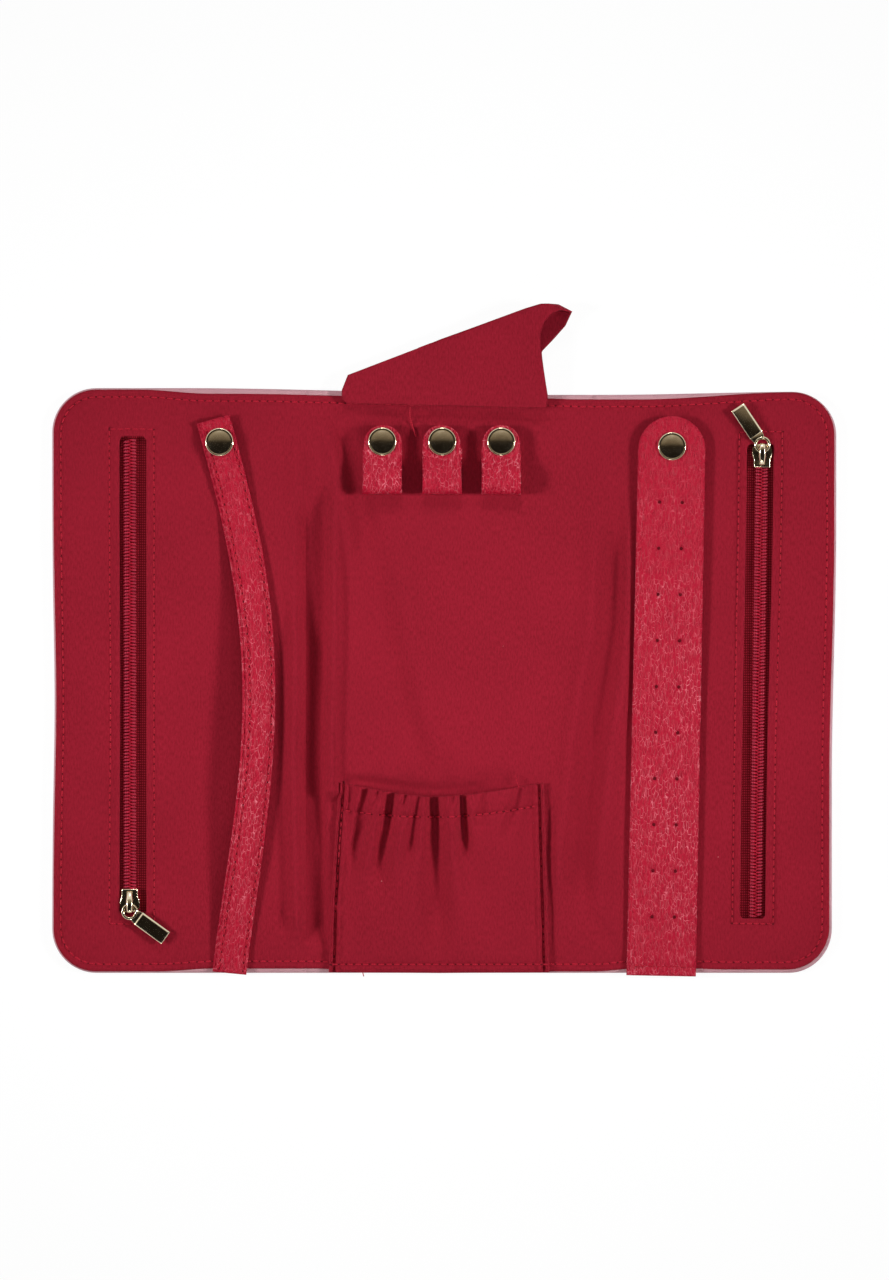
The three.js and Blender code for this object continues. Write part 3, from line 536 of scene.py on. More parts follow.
def make_weave_group():
    """Fine twill: slanting threads, uneven in thickness and colour, with lint."""
    group, inlet, outlet = new_group(
        "cotton twill", {"Vector": "NodeSocketVector", "Threads": "NodeSocketFloat"},
        ("Height", "Tone", "Lint"))
    place = inlet["Vector"]
    wobble = noise_texture(group, place, 260.0, 2.0)["Color"]
    moved = maths(group, "MULTIPLY_ADD", wobble, (0.0005, 0.0005, 0.0005), place, kind="VectorMath")
    parts = add_node(group, "SeparateXYZ", {0: moved}).outputs
    waves = []
    for slant, source, other in ((0.45, "Y", "X"), (-1.0, "X", "Y")):
        lean = maths(group, "MULTIPLY_ADD", parts[source], slant, parts[other])
        turns = maths(group, "MULTIPLY", lean, inlet["Threads"])
        waves.append(maths(group, "SINE", maths(group, "MULTIPLY", turns, 2 * math.pi)))
    drawn = maths(group, "MULTIPLY", place, (1700.0, 520.0, 300.0), kind="VectorMath")
    slubs = noise_texture(group, drawn, 1.0, 4.0, Roughness=0.65)["Fac"]
    specks = add_node(group, "TexVoronoi", {"Vector": place, "Scale": 85.0}).outputs
    picked = add_node(group, "SeparateColor", {0: specks["Color"]}).outputs[0]
    lint = maths(group, "MULTIPLY", maths(group, "LESS_THAN", specks["Distance"], 0.02),
                 maths(group, "GREATER_THAN", picked, 0.86))
    feed(outlet, {"Height": maths(group, "MULTIPLY_ADD", waves[1], 0.35, waves[0]),
                  "Tone": ranged(group, slubs, 0.22, 0.78), "Lint": lint})
    return group


weave_group = make_weave_group()


def woven(name, dark, light, threads, depth, lint_colour):
    """Matt woven cloth with uneven thread colour and a few specks of lint."""
    material, tree, shader = new_material(name)
    place = texture_place(tree, "UV")
    weave = add_node(tree, "Group", {"Vector": place, "Threads": threads},
                     node_tree=weave_group).outputs
    clouds = noise_texture(tree, place, 22.0, 5.0)["Fac"]
    uneven = maths(tree, "MULTIPLY_ADD", clouds, 0.3, maths(tree, "MULTIPLY", weave["Tone"], 0.7))
    tone = mixed(tree, uneven, rgba(dark), rgba(light))
    fluff = maths(tree, "MULTIPLY", weave["Lint"], 0.6)
    feed(shader, {"Roughness": 0.86, "Specular IOR Level": 0.12, "Sheen Weight": 0.05,
                  "Sheen Roughness": 0.45, "Sheen Tint": (0.9, 0.45, 0.5, 1),
                  "Base Color": mixed(tree, fluff, tone, rgba(lint_colour)),
                  "Normal": bumped(tree, weave["Height"], depth * mm, 0.6)})
    return material


lining_cotton = woven("red cotton lining", (0.160, 0.0034, 0.0105), (0.45, 0.0140, 0.037),
                      2300.0, 0.05, (0.62, 0.25, 0.26))
lining_inset = 0.7
lining_roll = [(0.15, -0.45), (-0.15, -0.35), (-0.6, -0.15)]
window_roll = [(0.2, -0.2), (0.05, -0.45), (-0.3, -0.45), (-1.6, -0.3)]


def cut_window(bm, side):
    """Open a zip window: cut along its edges, take the cloth out, fold the edge under."""
    window = windows[side]
    spin = Matrix.Rotation(window["turn"], 3, "Z")
    halves = ((Vector((1, 0, 0)), window_width / 2), (Vector((0, 1, 0)), window_length / 2))
    for axis, half in halves:
        for sign in (-1, 1):
            normal = spin @ axis * sign
            near = window["centre"] + normal * half
            faces = [f for f in bm.faces
                     if window_distance(*f.calc_center_median().xy, side) < 3]
            geometry = faces + list({e for f in faces for e in f.edges})
            geometry += list({v for f in faces for v in f.verts})
            bmesh.ops.bisect_plane(bm, geom=geometry, dist=0.01, plane_co=near, plane_no=normal)
    inside = [f for f in bm.faces if window_distance(*f.calc_center_median().xy, side) < -0.02]
    bmesh.ops.delete(bm, geom=inside, context="FACES")
    return [e for e in bm.edges if e.is_boundary
            and window_distance(*edge_middle(e).xy, side) < 0.3]


def round_window_end(place, side):
    """How far the cloth at a window's corners stands in, to make its ends round."""
    local = window_place(place.x, place.y, side)
    away = max(window_distance(place.x, place.y, side), 0.0)
    share = smooth(abs(local.y), window_length / 2 - 1.8, window_length / 2)
    pull = 0.25 * share * share * (1 - smooth(away, 0, 5))
    return Matrix.Rotation(windows[side]["turn"], 3, "Z") @ Vector((-local.x * pull, 0, 0))


def into_window(side):
    """Direction from a window's edge in towards the zip."""
    spin = Matrix.Rotation(windows[side]["turn"], 3, "Z")

    def direction(x, y):
        """The way in from one place on the edge."""
        place = window_place(x, y, side)
        at_end = abs(place.y) - window_length / 2 > abs(place.x) - window_width / 2 + 0.02
        way = Vector((0, -place.y, 0)) if at_end else Vector((-place.x, 0, 0))
        return spin @ way.normalized()

    return direction


for name, (left, right, near, far, bend_start, bend_end) in panel_pieces.items():
    bm = panel_sheet(left, right, lining_inset, 1.3)
    side = {"left_wing": "left", "right_wing": "right"}.get(name)
    window_edges = cut_window(bm, side) if side else []
    for v in bm.verts:
        v.co.z = lining_height(v.co.x, v.co.y)
        if side:
            v.co += round_window_end(v.co, side)
    turn_edge(bm, [e for e in free_edges(bm, left, right) if e not in window_edges],
              lining_roll, outward)
    if side:
        turn_edge(bm, window_edges, window_roll, into_window(side))
    for v in bm.verts:
        v.co += lining_shift(v.co.x, v.co.y)
    lining = finished(bm, f"lining_cloth_{name}", lining_cotton)
    plan_uv(lining)
    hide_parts(*[f"lining_{part}" for part in cad_parts[name]])
    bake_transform(lining)


# Topstitching
# Red polyester thread, sewn through lining, padding and cover all round the
# case and round each zip window. Every stitch sinks into the cloth at its ends,
# where a small dark dimple is painted shade in the hole.
def wave_texture(tree, place, scale, distortion, direction, **inputs):
    """Soft bands across a direction."""
    inputs = {"Vector": place, "Scale": scale, "Distortion": distortion, **inputs}
    return add_node(tree, "TexWave", inputs, bands_direction=direction).outputs["Fac"]


def thread(name, colour, roughness=0.55):
    """Twisted thread: two tones in fine slanting bands."""
    material, tree, shader = new_material(name)
    bands = wave_texture(tree, texture_place(tree, "Object"), 900.0, 1.5, "DIAGONAL")
    feed(shader, {"Roughness": roughness, "Specular IOR Level": 0.12,
                  "Base Color": mixed(tree, bands, rgba(colour, 0.7), rgba(colour, 1.25))})
    return material


red_thread = thread("red thread", (0.48, 0.013, 0.034))
# Near-black dimples at the stitch holes: painted shade in the holes, not thread
painted_hole_shade = thread("painted hole shade", (0.14, 0.006, 0.013), 0.9)
stitch_pitch = 3.0
stitch_length = 2.5
stitch_width = 0.74
seam_width = 0.6
frame_pitch = 2.8
frame_stitch_width = 0.55


def stitch(start, end, width=stitch_width, rise=0.18):
    """Place and size of one stitch, from one needle hole to the next."""
    run = end - start
    turn = run.to_track_quat("X", "Z").to_matrix().to_4x4()
    size = Matrix.Diagonal((run.length / 2, width / 2, width / 2.4, 1))
    place = Matrix.Translation((start + end) / 2 + Vector((0, 0, rise)))
    return place @ turn @ size


def pierced(place, ahead=Vector((1, 0, 0)), size=0.36):
    """Place and size of the dark dimple of painted shade at a stitch's hole, drawn out along the seam.
    """
    turn = ahead.to_track_quat("X", "Z").to_matrix().to_4x4()
    return Matrix.Translation(place) @ turn @ Matrix.Diagonal((size * 1.9, size, 0.16, 1))


def slim_pieces(places, name, material):
    """Many small rounded lengths, such as stitches or teeth, in one mesh."""
    whole = bmesh.new()
    batch = 24
    for first in range(0, len(places), batch):
        few = bmesh.new()
        for place in places[first:first + batch]:
            bmesh.ops.create_uvsphere(few, u_segments=8, v_segments=5, radius=1,
                                      matrix=place @ Matrix.Rotation(math.pi / 2, 4, "Y"))
        part = bpy.data.meshes.new("few")
        few.to_mesh(part)
        few.free()
        whole.from_mesh(part)
        bpy.data.meshes.remove(part)
    return finished(whole, name, material)


def round_outline(inset, pitch):
    """Places along the case's outline, drawn in by an inset, at an even pitch."""
    radius = corner_radius - inset
    across = case_half_width - corner_radius
    up = case_half_height - corner_radius
    quarter = radius * math.pi / 2
    total = 4 * (across + up) + 4 * quarter
    count = round(total / pitch)
    places = []
    for i in range(count):
        s = total * i / count
        for k in range(4):
            flat = 2 * (across if k % 2 == 0 else up)
            ahead = Vector((1, 0, 0))
            ahead.rotate(Matrix.Rotation(-k * math.pi / 2, 3, "Z"))
            side = Vector((-ahead.y, ahead.x, 0))
            half_run = across if k % 2 == 0 else up
            half_side = up if k % 2 == 0 else across
            if s <= flat:
                places.append(ahead * (s - half_run) + side * (half_side + radius))
                break
            s -= flat
            if s <= quarter:
                angle = s / radius
                centre = ahead * half_run + side * half_side
                places.append(centre + ahead * radius * math.sin(angle)
                              + side * radius * math.cos(angle))
                break
            s -= quarter
    return places


def on_lining(place):
    """The point of the lining's surface over a place in the flat pattern."""
    x, y = place.xy
    return Vector((x, y, lining_height(x, y))) + lining_shift(x, y)


edge_places = round_outline(stitch_inset, stitch_pitch)
for name, (left, right, near, far, bend_start, bend_end) in panel_pieces.items():
    sewn, holes = [], []
    for i, place in enumerate(edge_places):
        following = edge_places[(i + 1) % len(edge_places)]
        middle = (place + following) / 2
        if not left <= middle.x < right:
            continue
        gap = (following - place).normalized() * (stitch_pitch - stitch_length) / 2
        stray = Vector((random.uniform(-0.12, 0.12), random.uniform(-0.12, 0.12), 0))
        sewn.append(stitch(on_lining(place + gap) + stray, on_lining(following - gap) + stray))
        holes.append(pierced(on_lining(place), following - place))
    if name in ("left_wing", "right_wing"):
        side = name.split("_")[0]
        frame_left, frame_right, frame_bottom, frame_top = window_frames[side]
        corners = [Vector((frame_left, frame_bottom, 0)), Vector((frame_right, frame_bottom, 0)),
                   Vector((frame_right, frame_top, 0)), Vector((frame_left, frame_top, 0))]
        lean = Matrix.Rotation(windows[side]["turn"], 3, "Z")
        middle = windows[side]["centre"]
        corners = [lean @ (corner - middle) + middle for corner in corners]
        for corner, following in zip(corners, corners[1:] + corners[:1]):
            run = following - corner
            count = round(run.length / frame_pitch)
            step = run / count
            for i in range(count):
                start = corner + step * (i + 0.08)
                holes.append(pierced(on_lining(corner + step * i), step))
                stray = Vector((random.uniform(-0.1, 0.1), random.uniform(-0.1, 0.1), 0))
                end = start + step * 0.84
                sewn.append(stitch(on_lining(start) + stray, on_lining(end) + stray,
                                   frame_stitch_width))
    stitches = slim_pieces(sewn, f"topstitching_{name}", red_thread)
    # Dark dimples of painted shade at the stitch holes
    painted_hole_shades = slim_pieces(holes, f"painted_hole_shades_{name}", painted_hole_shade)
    for piece in (stitches, painted_hole_shades):
        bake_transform(piece)


# Padding and pocket cloth
# Foam sheets between cover and lining, and the thin cotton of the two zipped
# pockets behind them. Glued and sewn in, and seen only where a zip gapes.
def plain_finish(name, colour, roughness, scale, spread):
    """Plain matt stuff whose tone drifts a little."""
    material, tree, shader = new_material(name)
    speckle = noise_texture(tree, texture_place(tree, "Object"), scale, 4.0)["Fac"]
    tone = mixed(tree, speckle, rgba(colour, 1 - spread), rgba(colour, 1 + spread))
    feed(shader, {"Roughness": roughness, "Base Color": tone,
                  "Normal": bumped(tree, speckle, 0.0001)})
    return material


def dress(node, material):
    """Give a CAD piece its finish."""
    piece = bpy.data.objects[node]
    piece.data.materials.clear()
    piece.data.materials.append(material)


foam_length = 216
foam_bottom = 1.15
foam_thickness = 0.7
foam_inset = 3.6
pouch_width = 67
pouch_length = 203
pouch_height = 2.2
foam = plain_finish("padding foam", (0.78, 0.76, 0.70), 0.95, 900.0, 0.06)
pouch_cotton = plain_finish("zip pocket cotton", (0.20, 0.008, 0.018), 0.9, 700.0, 0.2)
for side, body, left, right in (("left", "left_wing", -148.6, -62.0),
                                ("centre", "centre_panel", -44.4, 43.6),
                                ("right", "right_wing", 70.8, 148.6)):
    bm = unit_grid(36, 80)
    for v in bm.verts:
        x = left + (v.co.x + 0.5) * (right - left)
        y = v.co.y * foam_length
        drawn_in = max(foam_inset - edge_distance(x, y), 0)
        v.co = Vector((x, y, foam_bottom)) - outward(x, y) * drawn_in
    raised = bmesh.ops.extrude_face_region(bm, geom=bm.faces[:])["geom"]
    for v in verts_in(raised):
        v.co.z += foam_thickness + 0.06 * noise.noise(v.co / 9)
    bmesh.ops.recalc_face_normals(bm, faces=bm.faces)
    pad = finished(bm, f"foam_{side}", foam)
    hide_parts(f"padding_{side}")
    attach(pad, body)
for side, x in (("left", -111.1), ("right", 111.1)):
    bm = unit_grid(34, 90)
    for v in bm.verts:
        place = Vector((x + v.co.x * pouch_width, v.co.y * pouch_length, pouch_height))
        place.z += 0.14 * drift(place.x / 12, place.y / 20, 6.0)
        v.co = place
    pouch = finished(bm, f"zip_pouch_{side}", pouch_cotton)
    thicken(pouch, 0.2, 0.0)
    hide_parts(f"zip_pocket_cloth_{side}")
    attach(pouch, f"{side}_wing")


# Zips
# Nylon coil zips. Each coil half is a row of looped teeth sewn to a woven
# tape, and a cast slider with a flat bar puller runs on the two of them.
zips = {
    "left": {"place": Vector((-121.1, 1.9, 0)), "turn": 0.0, "puller": -36.0},
    "right": {"place": Vector((120.5, 0.0, 0)), "turn": math.radians(179.22), "puller": -55.5,
              "shift": -0.5},
}
coil_bottom = 3.4
coil_pitch = 1.25
coil_length = 183.4
tape_half_length = 99.3
tape_width = 10.3
tape_gap = 0.2
tooth_size = (1.42, 0.42, 0.7)
tooth_lean = math.radians(-7)
chain_rows = (-1.85, -1.15, 1.15, 1.85)


def zip_matrix(side, y=0.0, turn=0.0):
    """From a place on the zip to the case: x across the coil, y along it."""
    zipper = zips[side]
    return (Matrix.Translation(zipper["place"]) @ Matrix.Rotation(zipper["turn"], 4, "Z")
            @ Matrix.Translation((zipper.get("shift", 0.0), y, 0))
            @ Matrix.Rotation(math.radians(turn), 4, "Z"))


def make_tape_cloth():
    """Close herringbone tape, ribbed across, a little paler along its ribs."""
    material, tree, shader = new_material("zip tape")
    place = texture_place(tree, "UV")
    ribs = wave_texture(tree, place, 330.0, 1.2, "Y", Detail=1.0)
    warp = wave_texture(tree, place, 420.0, 0.8, "X")
    cross = maths(tree, "MULTIPLY", ribs, warp)
    feed(shader, {"Roughness": 0.75, "Specular IOR Level": 0.08,
                  "Base Color": mixed(tree, cross, (0.12, 0.002, 0.006, 1), (0.52, 0.015, 0.038, 1)),
                  "Normal": bumped(tree, cross, 0.0002)})
    return material


def make_coil_nylon():
    """Dyed nylon, half glossy and a little uneven in colour."""
    material, tree, shader = new_material("zip coil nylon")
    tint = add_node(tree, "TexNoise", {"Vector": texture_place(tree, "Object"), "Scale": 160.0})
    tone = mixed(tree, tint.outputs["Fac"], (0.40, 0.008, 0.026, 1), (0.60, 0.018, 0.050, 1))
    feed(shader, {"Roughness": 0.36, "Specular IOR Level": 0.12, "Base Color": tone})
    return material


tape_cloth = make_tape_cloth()
coil_nylon = make_coil_nylon()
# The coil's chain thread is paler and pinker than the nylon: partly its own colour, partly a painted
# highlight along the rows
coil_thread_and_highlight = thread("coil thread and highlight", (0.50, 0.045, 0.085))


def tape_height(x, y):
    """Tape surface: a corded edge beside the coil, and a slight ripple along."""
    cord = 0.28 * ridge(abs(x), 2.75, 0.3)
    ripple = 0.06 * math.sin(y / 5.0) * smooth(abs(x), 2.5, 5)
    return 3.22 + cord + ripple


for side in zips:
    for half, sign in (("a", -1), ("b", 1)):
        bm = unit_grid(34, 200)
        for v in bm.verts:
            x = sign * (tape_gap + tape_width * (v.co.x + 0.5))
            y = v.co.y * 2 * tape_half_length
            v.co = Vector((x, y, tape_height(x, y)))
        if sign < 0:
            bmesh.ops.reverse_faces(bm, faces=bm.faces)
        bmesh.ops.transform(bm, matrix=zip_matrix(side), verts=bm.verts)
        tape = finished(bm, f"woven_tape_{side}_{half}", tape_cloth)
        plan_uv(tape)
        thicken(tape, 0.22, -1.0)
        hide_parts(f"zip_tape_{side}_{half}")
        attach(tape, f"{side}_wing")

        teeth = []
        count = int(coil_length / coil_pitch) - 1
        first = -(count - 1) * coil_pitch / 2 + (coil_pitch / 2 if half == "b" else 0)
        for i in range(count):
            y = first + i * coil_pitch
            place = Matrix.Translation((sign * 1.12, y, coil_bottom + 0.72))
            lean = Matrix.Rotation(tooth_lean * sign, 4, "Z")
            size = Matrix.Diagonal((*tooth_size, 1))
            teeth.append(zip_matrix(side) @ place @ lean @ size)
        coil = slim_pieces(teeth, f"tooth_row_{side}_{half}", coil_nylon)
        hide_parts(f"zip_coil_{side}_{half}")
        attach(coil, f"{side}_wing")

    sewn = []
    for row in chain_rows:
        for i in range(count):
            y = -(count - 1) * coil_pitch / 2 + (i + (0.5 if row > 0 else 0)) * coil_pitch
            start = Vector((row, y - 0.55, coil_bottom + 1.3))
            end = Vector((row + 0.22, y + 0.55, coil_bottom + 1.3))
            sewn.append(zip_matrix(side) @ stitch(start, end, 0.34, 0.0))
    chain = slim_pieces(sewn, f"coil_stitching_{side}", coil_thread_and_highlight)
    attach(chain, f"{side}_wing")


def make_gilt():
    """Pale gilt plating, bright, with fine scuffs."""
    material, tree, shader = new_material("pale gilt")
    smear = noise_texture(tree, texture_place(tree, "Object"), 380.0, 5.0)["Fac"]
    tone = mixed(tree, smear, (0.60, 0.49, 0.34, 1), (0.78, 0.68, 0.50, 1))
    feed(shader, {"Metallic": 1.0, "Roughness": ranged(tree, smear, 0.0, 1.0, 0.08, 0.2),
                  "Base Color": tone})
    return material


gilt = make_gilt()
slider_start = -86.5
slider_nose = -4.4
slider_rear = 4.4


def slider_half_width(y):
    """Half width of the slider, narrow behind and flared at its shoulders."""
    if y > 1.2:
        return 3.1
    if y > -1.6:
        return 3.1 + 0.95 * smooth(-y, -1.2, 1.6)
    return 1.5 + 2.55 * math.sqrt(max(1 - ((-1.6 - y) / 2.85) ** 2, 0))


def block(bm):
    """Vertices of a new unit cube."""
    return bmesh.ops.create_cube(bm, size=1)["verts"]


def faces_at(verts):
    """The faces that meet at any of a few vertices."""
    return list({f for v in verts for f in v.link_faces})


def edges_at(verts):
    """The edges that meet at any of a few vertices."""
    return list({e for v in verts for e in v.link_edges})


def soften(bm, edges, offset, segments):
    """Round off edges."""
    bmesh.ops.bevel(bm, geom=edges, offset=offset, affect="EDGES", segments=segments,
                    profile=0.5, material=-1)


def add_slider_plate(bm, bottom, top):
    """Flat plate of the slider's outline with softened edges."""
    faces = faces_at(block(bm))
    cuts = 14
    for i in range(1, cuts):
        y = -0.5 + i / cuts
        geometry = list({g for f in faces if f.is_valid for g in (f, *f.edges, *f.verts)})
        cut = bmesh.ops.bisect_plane(bm, geom=geometry, plane_co=(0, y, 0), plane_no=(0, 1, 0))
        faces = [g for g in cut["geom"] if isinstance(g, bmesh.types.BMFace)]
    verts = list({v for f in faces for v in f.verts})
    for v in verts:
        y = slider_nose + (v.co.y + 0.5) * (slider_rear - slider_nose)
        half = slider_half_width(y)
        v.co = Vector((math.copysign(half, v.co.x), y, top if v.co.z > 0 else bottom))
    rim = list({e for f in faces for e in f.edges if e.calc_face_angle(0) > 0.6})
    soften(bm, rim, 0.25, 3)


def add_bar(bm, low, high):
    """Block between two corners with softened edges."""
    verts = block(bm)
    bmesh.ops.scale(bm, vec=[b - a for a, b in zip(low, high)], verts=verts)
    bmesh.ops.translate(bm, vec=[(a + b) / 2 for a, b in zip(low, high)], verts=verts)
    soften(bm, edges_at(verts), 0.15, 3)


def add_bridge(bm):
    """Arch over the slider from nose to heel, which holds the puller."""
    made = bmesh.ops.create_grid(bm, x_segments=4, y_segments=18, size=0.5)["verts"]
    path = [(-4.25, 5.3), (-4.3, 6.3), (-4.1, 7.1), (-3.4, 7.5), (-2.0, 7.62), (0, 7.35),
            (1.6, 6.8), (2.6, 6.2), (3.2, 5.5)]
    for v in made:
        share = (v.co.y + 0.5) * (len(path) - 1)
        i = min(int(share), len(path) - 2)
        y = path[i][0] + (path[i + 1][0] - path[i][0]) * (share - i)
        z = path[i][1] + (path[i + 1][1] - path[i][1]) * (share - i)
        width = 2.3 - 0.5 * smooth(abs(y + 0.6), 0, 3.5)
        crown = -0.25 * (2 * v.co.x) ** 2
        v.co = Vector((v.co.x * width, y, z + crown))
    faces = faces_at(made)
    bmesh.ops.recalc_face_normals(bm, faces=faces)
    bmesh.ops.solidify(bm, geom=faces, thickness=-0.6)


def add_ring(bm, radius, wide, high, z):
    """Closed ring about the eye, oval in section."""
    made = bmesh.ops.create_circle(bm, segments=14, radius=1, cap_ends=False)["verts"]
    for v in made:
        v.co = Vector((radius + v.co.x * wide / 2, 0, z + v.co.y * high / 2))
    bmesh.ops.spin(bm, geom=[*made, *edges_at(made)], cent=(0, 0, 0), axis=(0, 0, 1),
                   angle=2 * math.pi, steps=40, use_merge=True)


def add_puller_bar(bm):
    """Flat bar with wide sloping long edges and a neck that grows into the ring."""
    bar = block(bm)
    for v in bar:
        x = 4.2 if v.co.x < 0 else 17.2
        v.co = Vector((x, v.co.y * 5.7, 6.0 if v.co.z < 0 else 6.75))
    faces = faces_at(bar)
    top = max(faces, key=lambda f: f.calc_center_median().z)
    bmesh.ops.inset_individual(bm, faces=[top], thickness=0.95)
    for v in top.verts:
        v.co.z += 0.32
    soften(bm, edges_at({v for f in faces for v in f.verts} | set(top.verts)), 0.12, 2)
    neck = block(bm)
    for v in neck:
        near = v.co.x < 0
        v.co = Vector((2.2 if near else 4.4, v.co.y * (4.6 if near else 5.5),
                       6.05 if v.co.z < 0 else 6.7))
    soften(bm, edges_at(neck), 0.15, 2)


for side, zipper in zips.items():
    bm = bmesh.new()
    add_slider_plate(bm, 5.05, 5.75)
    add_bridge(bm)
    for sign in (-1, 1):
        add_bar(bm, (sign * 2.9 - 0.22, 0.4, 3.5), (sign * 2.9 + 0.22, 4.35, 5.3))
        add_bar(bm, (sign * 3.35 - 0.25, -3.0, 3.5), (sign * 3.35 + 0.25, 0.4, 5.3))
    bmesh.ops.transform(bm, matrix=zip_matrix(side, slider_start), verts=bm.verts)
    slider = finished(bm, f"slider_casting_{side}", gilt)
    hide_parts(f"zip_slider_{side}")
    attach(slider, f"{side}_slider")

    bm = bmesh.new()
    add_ring(bm, 2.6, 1.15, 0.85, 6.38)
    add_puller_bar(bm)
    eye = zip_matrix(side, slider_start + slider_nose + 0.1, zipper["puller"])
    bmesh.ops.transform(bm, matrix=eye, verts=bm.verts)
    puller = finished(bm, f"puller_bar_{side}", gilt)
    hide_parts(f"zip_puller_{side}")
    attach(puller, f"{side}_puller")
    dress(f"zip_slider_base_{side}", gilt)


# Press studs
# Gilt caps riveted through strap and loops. Each has a low dome inside a thin
# rolled rim, and closes on a stud in the lining or in the loop's fixed leg.
cap_profile = [(5.0, -0.1), (5.28, 0.02), (5.4, 0.2), (5.42, 0.42), (5.34, 0.62), (5.14, 0.76),
               (4.9, 0.78), (4.72, 0.72), (4.55, 0.7), (4.2, 0.77), (3.4, 0.93), (2.4, 1.05),
               (1.2, 1.12), (0.0, 1.15)]


def add_cap(name, node, body):
    """Cap turned about its middle, its top level with that of the CAD's cap."""
    low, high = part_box(node)
    middle = (low + high) / 2 / mm
    seat = high.z / mm - cap_profile[-1][1]
    bm = bmesh.new()
    bmesh.ops.create_circle(bm, segments=len(cap_profile), radius=1, cap_ends=False)
    bm.verts.ensure_lookup_table()
    open_edge = bm.verts[-1].link_edges[:]
    bmesh.ops.delete(bm, geom=[e for e in open_edge if bm.verts[0] in e.verts], context="EDGES")
    bm.verts.ensure_lookup_table()
    for v, (radius, height) in zip(bm.verts, cap_profile):
        v.co = Vector((radius, 0, seat + height))
    bmesh.ops.spin(bm, geom=bm.verts[:] + bm.edges[:], cent=(0, 0, 0), axis=(0, 0, 1),
                   angle=2 * math.pi, steps=56, use_merge=True)
    bmesh.ops.remove_doubles(bm, verts=bm.verts, dist=0.001)
    bmesh.ops.holes_fill(bm, edges=[e for e in bm.edges if e.is_boundary], sides=0)
    bmesh.ops.recalc_face_normals(bm, faces=bm.faces)
    bmesh.ops.translate(bm, vec=(middle.x, middle.y, 0), verts=bm.verts)
    cap = finished(bm, name, gilt)
    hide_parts(node)
    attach(cap, body)


add_cap("ring_strap_cap", "ring_strap_snap_cap", "ring_strap")
add_cap("earring_strap_cap", "earring_strap_snap_cap", "earring_strap")
for number in (1, 2, 3):
    add_cap(f"loop_cap_{number}", f"necklace_loop_{number}_snap_cap", f"necklace_loop_{number}")
for strap in ("ring_strap", "earring_strap", *[f"necklace_loop_{i}" for i in (1, 2, 3)]):
    dress(f"{strap}_snap_socket", gilt)
    dress(f"{strap}_snap_stud", gilt)


# Ring strap
# Two strips of red leatherette over a soft core, stitched along both edges.
# It is sewn in at the bottom edge and is a little longer than its span.
# Its pale pink crease colour is a painted highlight along the grain's lines
red_leatherette = leatherette("red leatherette", (0.47, 0.009, 0.033), (0.88, 0.26, 0.32),
                              400.0, 0.35, 0.42, 2.4)
ring_width = 13.1
ring_trim = 2.4
face_share = 0.92
face_shift = 0.45
ring_tilt = math.radians(25)


def ring_underside(t):
    """Height of the strap's underside, which bows up between its foot and its cap."""
    return 4.1 + 1.5 * smooth(t, 0.8, 0.97) + 2.0 * math.sin(math.pi * min(t / 0.86, 1.0)) ** 2


def ring_frame(t):
    """Middle of the strap's underside, the way across it and the way out of its face."""
    x, y = ring_strap_centre(t)
    step = Vector(ring_strap_centre(t + 0.004)) - Vector(ring_strap_centre(t - 0.004))
    ahead = step.to_3d().normalized()
    tilt = ring_tilt * math.sin(math.pi * min(max((t - 0.03) / 0.81, 0.0), 1.0)) ** 0.8
    flat = Vector((ahead.y, -ahead.x, 0))
    across = flat * math.cos(tilt) - Vector((0, 0, math.sin(tilt)))
    lift = ring_width / 2 * math.sin(tilt)
    out = Vector((0, 0, math.cos(tilt))) + flat * math.sin(tilt)
    return Vector((x, y, ring_underside(t) + lift)), across, out


def ring_section(across, t):
    """Height of the top face over the underside: flat edges and a padded middle."""
    edge = ring_width * face_share / 2 - abs(across)
    padded = 0.55 * smooth(edge, 1.9, 4.0) * smooth(t, 0.02, 0.08)
    groove = 0.25 * ridge(edge, 1.5, 0.45)
    crumple = 0.16 * drift(across / 2.2, t * 60, 7.7) * smooth(edge, 1.5, 3)
    return 1.5 + padded - groove + crumple * smooth(0.82 - t, 0, 0.25)


def strap_uv(piece, places):
    """UV map along a strap: across and along, in metres."""
    layer = piece.data.uv_layers.new(name="UVMap")
    for loop in piece.data.loops:
        layer.data[loop.index].uv = places[loop.vertex_index]


def ring_strap_layer(bottom, top, width_scale, shift):
    """One strip: a closed slab bent along the strap's route."""
    bm = unit_grid(20, 150)
    extruded = bmesh.ops.extrude_face_region(bm, geom=bm.faces[:])["geom"]
    upper = set(verts_in(extruded))
    bmesh.ops.recalc_face_normals(bm, faces=bm.faces)
    places = []
    start = ring_trim / ring_strap_run
    for v in bm.verts:
        across = v.co.x * ring_width * width_scale
        t = start + (v.co.y + 0.5) * (1 - start)
        middle, sideways, out = ring_frame(t)
        places.append((across * mm, t * ring_strap_run * mm))
        if v in upper:
            round_edge = 0.28 * (1 - smooth(ring_width * width_scale / 2 - abs(across), 0, 0.8))
            lift = top(across, t) - round_edge
        else:
            lift = bottom
        v.co = middle + sideways * (across + shift) + out * lift
    return bm, places


ring_layers = {"back": (0.0, lambda across, t: 0.68, 1.0, -0.1),
               "face": (0.72, ring_section, face_share, face_shift)}
for layer_name, layer in ring_layers.items():
    bm, places = ring_strap_layer(*layer)
    bmesh.ops.recalc_face_normals(bm, faces=bm.faces)
    strip = finished(bm, f"ring_strap_{layer_name}_strip", red_leatherette)
    strap_uv(strip, places)
    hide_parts(f"ring_strap_{layer_name}")
    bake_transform(strip)

